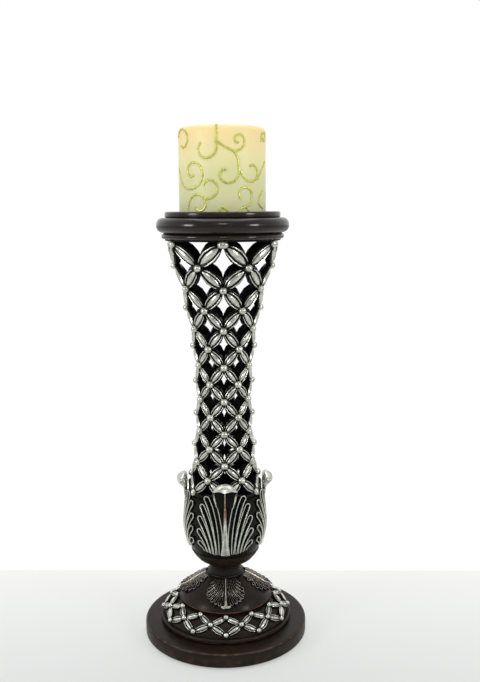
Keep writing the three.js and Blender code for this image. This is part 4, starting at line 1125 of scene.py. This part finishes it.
def wax_profile(sizes):
    low, high, radius = bottom("candle_shell"), top("candle_shell"), reach("candle_shell")
    rim, well = sizes.rim_round, sizes.well_radius
    floor = high - sizes.well_depth
    cavity = radius - 12.8 * MM
    ceiling = floor - 8 * MM
    hole = 6.3 * MM
    rise = spline([(well + 7.6 * MM, high - 0.6 * MM), (well + 4.2 * MM, high - 3 * MM),
                   (well + 1.6 * MM, floor + 8 * MM), (well - 0.4 * MM, floor + 1.6 * MM),
                   (well - 4 * MM, floor)], 5)
    return [
        (cavity, low, 0), (radius - 1.2 * MM, low, 0),
        *arc(radius - 1.2 * MM, low + 1.2 * MM, 1.2 * MM, 1.2 * MM, -60, 0, 3),
        (radius, low + 30 * MM, 0), (radius, low + 60 * MM, 0),
        *arc(radius - rim, high - rim, rim, rim, 0, 90, 9),
        *[(r, z, 0) for r, z in rise],
        (hole, floor, 0), (hole, ceiling, 0), (cavity, ceiling, 0)]


def flame_profile():
    low, tip = bottom("led_flame"), top("led_flame")
    wide, stem, flange = 7.5 * MM, 6 * MM, reach("led_flame")
    shoulder = tip - 15.5 * MM
    body = spline([
        (stem, shoulder), (wide, shoulder + 3.2 * MM), (wide * 0.92, shoulder + 6 * MM),
        (wide * 0.5, shoulder + 11.4 * MM), (0.6 * MM, tip - 0.3 * MM), (0.0, tip)], 5)
    return [(0, low, 0), (flange, low, 0), (flange, low + 4 * MM, 0), (stem, low + 4 * MM, 0),
            *[(r, z, 0) for r, z in body]]


# ------------------------------------------------------------------ operators


def settings():
    scene = bpy.context.scene
    return scene.stand_sizes, scene.candle_sizes, scene.finish_colours


LAMPS = (("left_softbox", (-1.2, -0.72, 0.72), 0.38, 6.0),
         ("right_softbox", (1.1, -0.8, 0.72), 0.34, 5.0),
         ("front_softbox", (0.0, -1.15, 1.15), 0.25, 1.5),
         ("top_softbox", (0.0, 0.15, 1.75), 1.2, 9.0))
MIDDLE = Vector((0, 0, 0.33))  # where the lamps point
FAR_EDGE = 0.167  # where the paper's grey ends, behind the stand


class TORCHERE_OT_stage(bpy.types.Operator):
    """Makes the floor, the lamps, the world and the camera."""

    bl_idname = "torchere.stage"
    bl_label = "Stage"

    def execute(self, context):
        camera = context.scene.camera = new_object("camera", bpy.data.cameras.new("camera"))
        camera.location = (-0.0006, -0.9912, 0.530)
        look_down, look_right, lean = math.radians(9.17), 0.020545, -0.004977
        camera.rotation_euler = (
            Matrix.Rotation(-look_right, 3, "Z")
            @ Matrix.Rotation(math.pi / 2 - look_down, 3, "X")
            @ Matrix.Rotation(lean, 3, "Z")).to_euler()
        camera.data.lens, camera.data.sensor_width = 43.88, 36.0
        camera.data.clip_start, camera.data.clip_end = 0.01, 50

        half = 12.0
        mesh = bpy.data.meshes.new("floor")
        mesh.from_pydata([(-half, -half, 0), (half, -half, 0), (half, half, 0), (-half, half, 0)],
                         [], [(0, 1, 2, 3)])
        new_object("floor", mesh, self.floor_paper())
        for name, place, size, energy in LAMPS:
            lamp = new_object(name, bpy.data.lights.new(name, "AREA"))
            lamp.data.shape = "SQUARE"
            lamp.data.size, lamp.data.energy = size, energy
            lamp.location = place
            lamp.rotation_euler = (MIDDLE - lamp.location).to_track_quat("-Z", "Y").to_euler()
        self.white_room(context.scene)
        context.scene.view_settings.view_transform = "Standard"
        return {"FINISHED"}

    def floor_paper(self):
        """Seamless white background paper, with painted shade and painted light: greyer towards the
        front, whiter towards the far edge, and partly a white glow where the camera sees it.
        """
        material, add = new_material("white_background_paper")
        where = add("ShaderNodeTexCoord")["Object"]
        # The far edge runs slightly across the room.
        depth = add("ShaderNodeVectorMath", {0: where, 1: (0.033, 1.0, 0.0)},
                    operation="DOT_PRODUCT")["Value"]
        share = add("ShaderNodeMapRange", {
            "Value": depth, "From Min": -0.25, "From Max": FAR_EDGE})[0]
        # Painted shade: the paper's colour greys towards the front and whitens towards the far edge.
        near = add("ShaderNodeValToRGB", {0: share}, [
            (0.0, "#DCE0DE"), (1.0, "#FAFAF8")])[0]
        behind = add("ShaderNodeMath", {0: depth, 1: FAR_EDGE}, operation="GREATER_THAN")[0]
        # Out of the picture the paper clears to white in every direction.
        distance = add("ShaderNodeVectorMath", {0: where}, operation="LENGTH")["Value"]
        away = add("ShaderNodeMapRange", {"Value": distance, "From Min": 0.55, "From Max": 1.1})[0]
        beyond = add("ShaderNodeMath", {0: behind, 1: away}, operation="MAXIMUM")[0]
        tint = add("ShaderNodeMix", {0: beyond, 6: near, 7: "#FFFFFF"}, data_type="RGBA")[2]
        # Painted light: the camera sees the paper partly as a white glow, more so further back and
        # beyond the picture.
        clear = add("ShaderNodeMapRange", {"Value": share, "To Min": 0.3, "To Max": 0.75})[0]
        shown = add("ShaderNodeMath", {0: clear, 1: beyond}, operation="MAXIMUM")[0]
        seen = add("ShaderNodeMath", {
            0: add("ShaderNodeLightPath")["Is Camera Ray"], 1: shown}, operation="MULTIPLY")[0]
        grain = add("ShaderNodeBump", {"Height": blotches(add, 20 * MM), "Distance": 0.1 * MM})[0]
        paper = add("ShaderNodeBsdfPrincipled", {
            "Base Color": near, "Roughness": 0.9, "Normal": grain})[0]
        white = add("ShaderNodeEmission", {"Color": tint, "Strength": 1.0})[0]
        add("ShaderNodeOutputMaterial", {
            "Surface": add("ShaderNodeMixShader", {0: seen, 1: paper, 2: white})[0]})
        return material

    def white_room(self, scene):
        """An even pale world that the camera sees as white."""
        scene.world = bpy.data.worlds.new("white_room")
        add = start_nodes(scene.world)
        rays = add("ShaderNodeLightPath")
        # What polished metal sees: the bright backdrop behind, the dim room round the camera.
        backwards = add("ShaderNodeSeparateXYZ", {0: add("ShaderNodeTexCoord")["Generated"]})["Y"]
        level = add("ShaderNodeMapRange", {
            "Value": backwards, "From Min": -0.8, "From Max": 0.6, "To Min": 0.42, "To Max": 1.0})[0]
        plain, room, white = [
            add("ShaderNodeBackground", {"Color": colour, "Strength": strength})[0]
            for colour, strength in (("#F4F7F6", 0.5), ("#F6F8F7", level), ("#FFFFFF", 1.0))]
        shown = add("ShaderNodeMixShader", {0: rays["Is Glossy Ray"], 1: plain, 2: room})[0]
        add("ShaderNodeOutputWorld", {
            "Surface": add("ShaderNodeMixShader", {0: rays["Is Camera Ray"], 1: shown, 2: white})[0]})


class TORCHERE_OT_turnings(bpy.types.Operator):
    """Makes the turned pieces of the foot, the neck, the bowl and the plate."""

    bl_idname = "torchere.turnings"
    bl_label = "Turnings"

    def execute(self, context):
        sizes, _, colours = settings()
        bronze, gloss = bronze_lacquer(colours), espresso_gloss(colours)
        black = silver_leaf(colours)
        for name, profile, finish, slot, node in (
                ("turned_plinth", plinth_profile(), bronze, "bronze_brown", "base_plinth"),
                ("turned_tier", tier_profile(), bronze, "bronze_brown", "base_tier"),
                ("turned_dome", dome_profile(), bronze, "bronze_brown", "base_dome"),
                ("turned_neck", neck_profile(), bronze, "bronze_brown", "neck"),
                ("turned_bowl", bowl_profile(), black, "black_relief", "leaf_bowl"),
                ("turned_plate", plate_profile(), gloss, "espresso_gloss", "candle_plate")):
            turned_piece(name, profile, sizes.round_steps, finish, "stand", slot, node)
        return {"FINISHED"}


class TORCHERE_OT_lattice(bpy.types.Operator):
    """Makes the lattice column and the trellis band on the foot."""

    bl_idname = "torchere.lattice"
    bl_label = "Lattice"

    def execute(self, context):
        sizes, _, _ = settings()
        finish = bpy.data.materials["antiqued_silver_leaf"]
        tree = net_tree()
        heights = row_heights(sizes)
        column = []
        for row, height in enumerate(heights):
            radius = column_radius(sizes, height)
            slope = (column_radius(sizes, height + MM) - column_radius(sizes, height - MM)) / (2 * MM)
            column.append(((sizes.column_rows - 1 - row) % 2 / 2, radius, height,
                           Vector((1, -slope)).normalized()))
        ties = Shell()
        for profile in self.column_ties(sizes, heights):
            turn_profile(ties, profile, 64)
        band = [(shift, *point, normal) for shift, point, normal in zip(
            (0.0, 0.5, 0.0), band_points(), band_normals())]
        for name, node, rings, sides, stretch, helpers in (
                ("silvered_lattice", "lattice_column", column, sizes.column_sides,
                 sizes.head_stretch,
                 [petal("column_petal", 0.228, 6 * MM),
                  bead("column_bead", sizes.column_bead, 0.9 * MM, 6 * MM),
                  ties.build("column_ties")]),
                ("silvered_trellis", "base_trellis", band, sizes.trellis_count, 1.0,
                 [petal("band_petal", 0.215, 1.7 * MM, relief=0.85),
                  bead("band_bead", sizes.trellis_bead, 0.6 * MM, 1.7 * MM),
                  new_object("band_ties", bpy.data.meshes.new("band_ties"))])):
            net = grow(name, tree, ring_table(f"{node}_rings", rings), {
                "Sides": sides, "Petal": helpers[0], "Bead": helpers[1], "Ties": helpers[2],
                "Head Stretch": stretch, "Finish": finish}, *helpers)
            finish_piece(net, "stand", "antique_silver", node)
        return {"FINISHED"}

    def column_ties(self, sizes, heights):
        """The black rings that tie the lattice to the bowl and to the plate."""
        seat, rim = top("leaf_bowl") - 7.7 * MM, top("leaf_bowl") + 0.3 * MM
        outer, head = 41.2 * MM, top("lattice_column")
        low, foot = heights[0] + 0.8 * MM, sizes.column_foot
        bore = outer - 10 * MM
        under = head - 3.7 * MM
        return [
            [(bore, seat, 0), (outer, seat, 0), (outer, rim, 0), (foot + 1.2 * MM, rim, 0),
             (foot + 1.2 * MM, low, 0), (foot - 4.8 * MM, low, 0),
             (foot - 4.8 * MM, seat + 4 * MM, 0), (bore, seat + 4 * MM, 0)],
            [(HEAD_BORE, under, 0), (sizes.column_head - 4.8 * MM, under, 0),
             (sizes.column_head - 4.8 * MM, under - 2.2 * MM, 0),
             (HEAD_FLANGE - 0.4 * MM, under - 2.2 * MM, 0),
             (HEAD_FLANGE, head, 0), (HEAD_BORE, head, 0)]]


class TORCHERE_OT_leaves(bpy.types.Operator):
    """Makes the four leaves on the bowl and the four on the dome."""

    bl_idname = "torchere.leaves"
    bl_label = "Leaves"

    def execute(self, context):
        sizes, _, _ = settings()
        finish = bpy.data.materials["antiqued_silver_leaf"]
        for kind, shell in (("cup_leaf", cup_leaf(sizes)), ("foot_leaf", foot_leaf(sizes))):
            front = list(shell.points)
            for number, side in enumerate(SIDES):
                shell.points = turn_about_z(front, number * FULL_TURN / len(SIDES))
                name = f"carved_{kind}_{side}"
                leaf = shell.build(name, finish)
                finish_piece(leaf, "stand", "antique_silver", f"{kind}_{side}")
        return {"FINISHED"}


class TORCHERE_OT_candle(bpy.types.Operator):
    """Makes the wax pillar, its piped scrolls and its flame."""

    bl_idname = "torchere.candle"
    bl_label = "Candle"

    def execute(self, context):
        sizes, candle, colours = settings()
        turned_piece("wax_pillar", wax_profile(candle), sizes.round_steps, pillar_wax(colours),
                     "candle", "wax", "candle_shell")

        flat = bpy.data.curves.new("flat_scrolls", "CURVE")
        flat.dimensions = "3D"
        lines = [curl(*numbers) for numbers in CURLS]
        lines += [spline(points, 8) for points in STEMS]
        half_girth = math.pi * reach("candle_shell")
        for shift in (0.0, half_girth):
            for line in lines:
                run = flat.splines.new("POLY")
                run.points.add(len(line) - 1)
                for point, (x, y) in zip(run.points, line):
                    point.co = (x * MM + shift, y * MM, 0, 1)
        base = new_object("flat_scrolls", flat)
        scrolls = grow("piped_scrolls", scroll_tree(), base, {
            "Radius": reach("candle_shell") + 0.1 * MM, "Foot": bottom("candle_shell"),
            "Bead": candle.scroll_radius, "Finish": gilt_paint(colours)})
        scrolls.data.shade_smooth()
        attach(scrolls, "candle")

        turned_piece("glowing_flame", flame_profile(), 48, flame_lens(),
                     "candle", "amber_flame", "led_flame")
        return {"FINISHED"}


class TORCHERE_OT_fittings(bpy.types.Operator):
    """Gives the felt, the fasteners and the battery parts their finishes."""

    bl_idname = "torchere.fittings"
    bl_label = "Fittings"

    def execute(self, context):
        steel = [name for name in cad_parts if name.startswith(
            ("tie_rod", "rod_", "column_screw", "plate_screw", "cover_contact", "top_contact"))]
        for finish, names in (
                (wool_felt(), ["felt_pad"]), (zinc_steel(), steel),
                (moulded_plastic("moulded_ivory_abs", "#DCD6C6", "#E9E4D6", 0.45),
                 ["battery_case", "battery_cover"]),
                (moulded_plastic("moulded_black_abs", "#1B1B1C", "#262627", 0.5),
                 ["power_switch"]),
                (moulded_plastic("printed_cell_sleeve", "#33373C", "#474C52", 0.3),
                 ["cell_left", "cell_right"])):
            for name in names:
                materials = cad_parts[name].data.materials
                materials.clear()
                materials.append(finish)
        return {"FINISHED"}


class TORCHERE_PT_panel(bpy.types.Panel):
    """Lists the steps and the sizes of the stand."""

    bl_label = "Candle Stand"
    bl_idname = "TORCHERE_PT_panel"
    bl_space_type = "VIEW_3D"
    bl_region_type = "UI"
    bl_category = "Candle Stand"

    def draw(self, context):
        for step in STEPS:
            self.layout.operator(step.bl_idname)
        for group in settings():
            for name in group.bl_rna.properties.keys():
                if name not in ("rna_type", "name"):
                    self.layout.prop(group, name)


STEPS = (TORCHERE_OT_stage, TORCHERE_OT_turnings, TORCHERE_OT_lattice, TORCHERE_OT_leaves,
         TORCHERE_OT_candle, TORCHERE_OT_fittings)
CLASSES = (StandSizes, CandleSizes, FinishColours, *STEPS, TORCHERE_PT_panel)


def register():
    for item in CLASSES:
        bpy.utils.register_class(item)
    bpy.types.Scene.stand_sizes = bpy.props.PointerProperty(type=StandSizes)
    bpy.types.Scene.candle_sizes = bpy.props.PointerProperty(type=CandleSizes)
    bpy.types.Scene.finish_colours = bpy.props.PointerProperty(type=FinishColours)


def unregister():
    del bpy.types.Scene.stand_sizes
    del bpy.types.Scene.candle_sizes
    del bpy.types.Scene.finish_colours
    for item in reversed(CLASSES):
        bpy.utils.unregister_class(item)


def main():
    register()
    bpy.ops.torchere.stage()
    bpy.ops.torchere.turnings()
    bpy.ops.torchere.lattice()
    bpy.ops.torchere.leaves()
    bpy.ops.torchere.candle()
    bpy.ops.torchere.fittings()


if __name__ == "__main__":
    main()
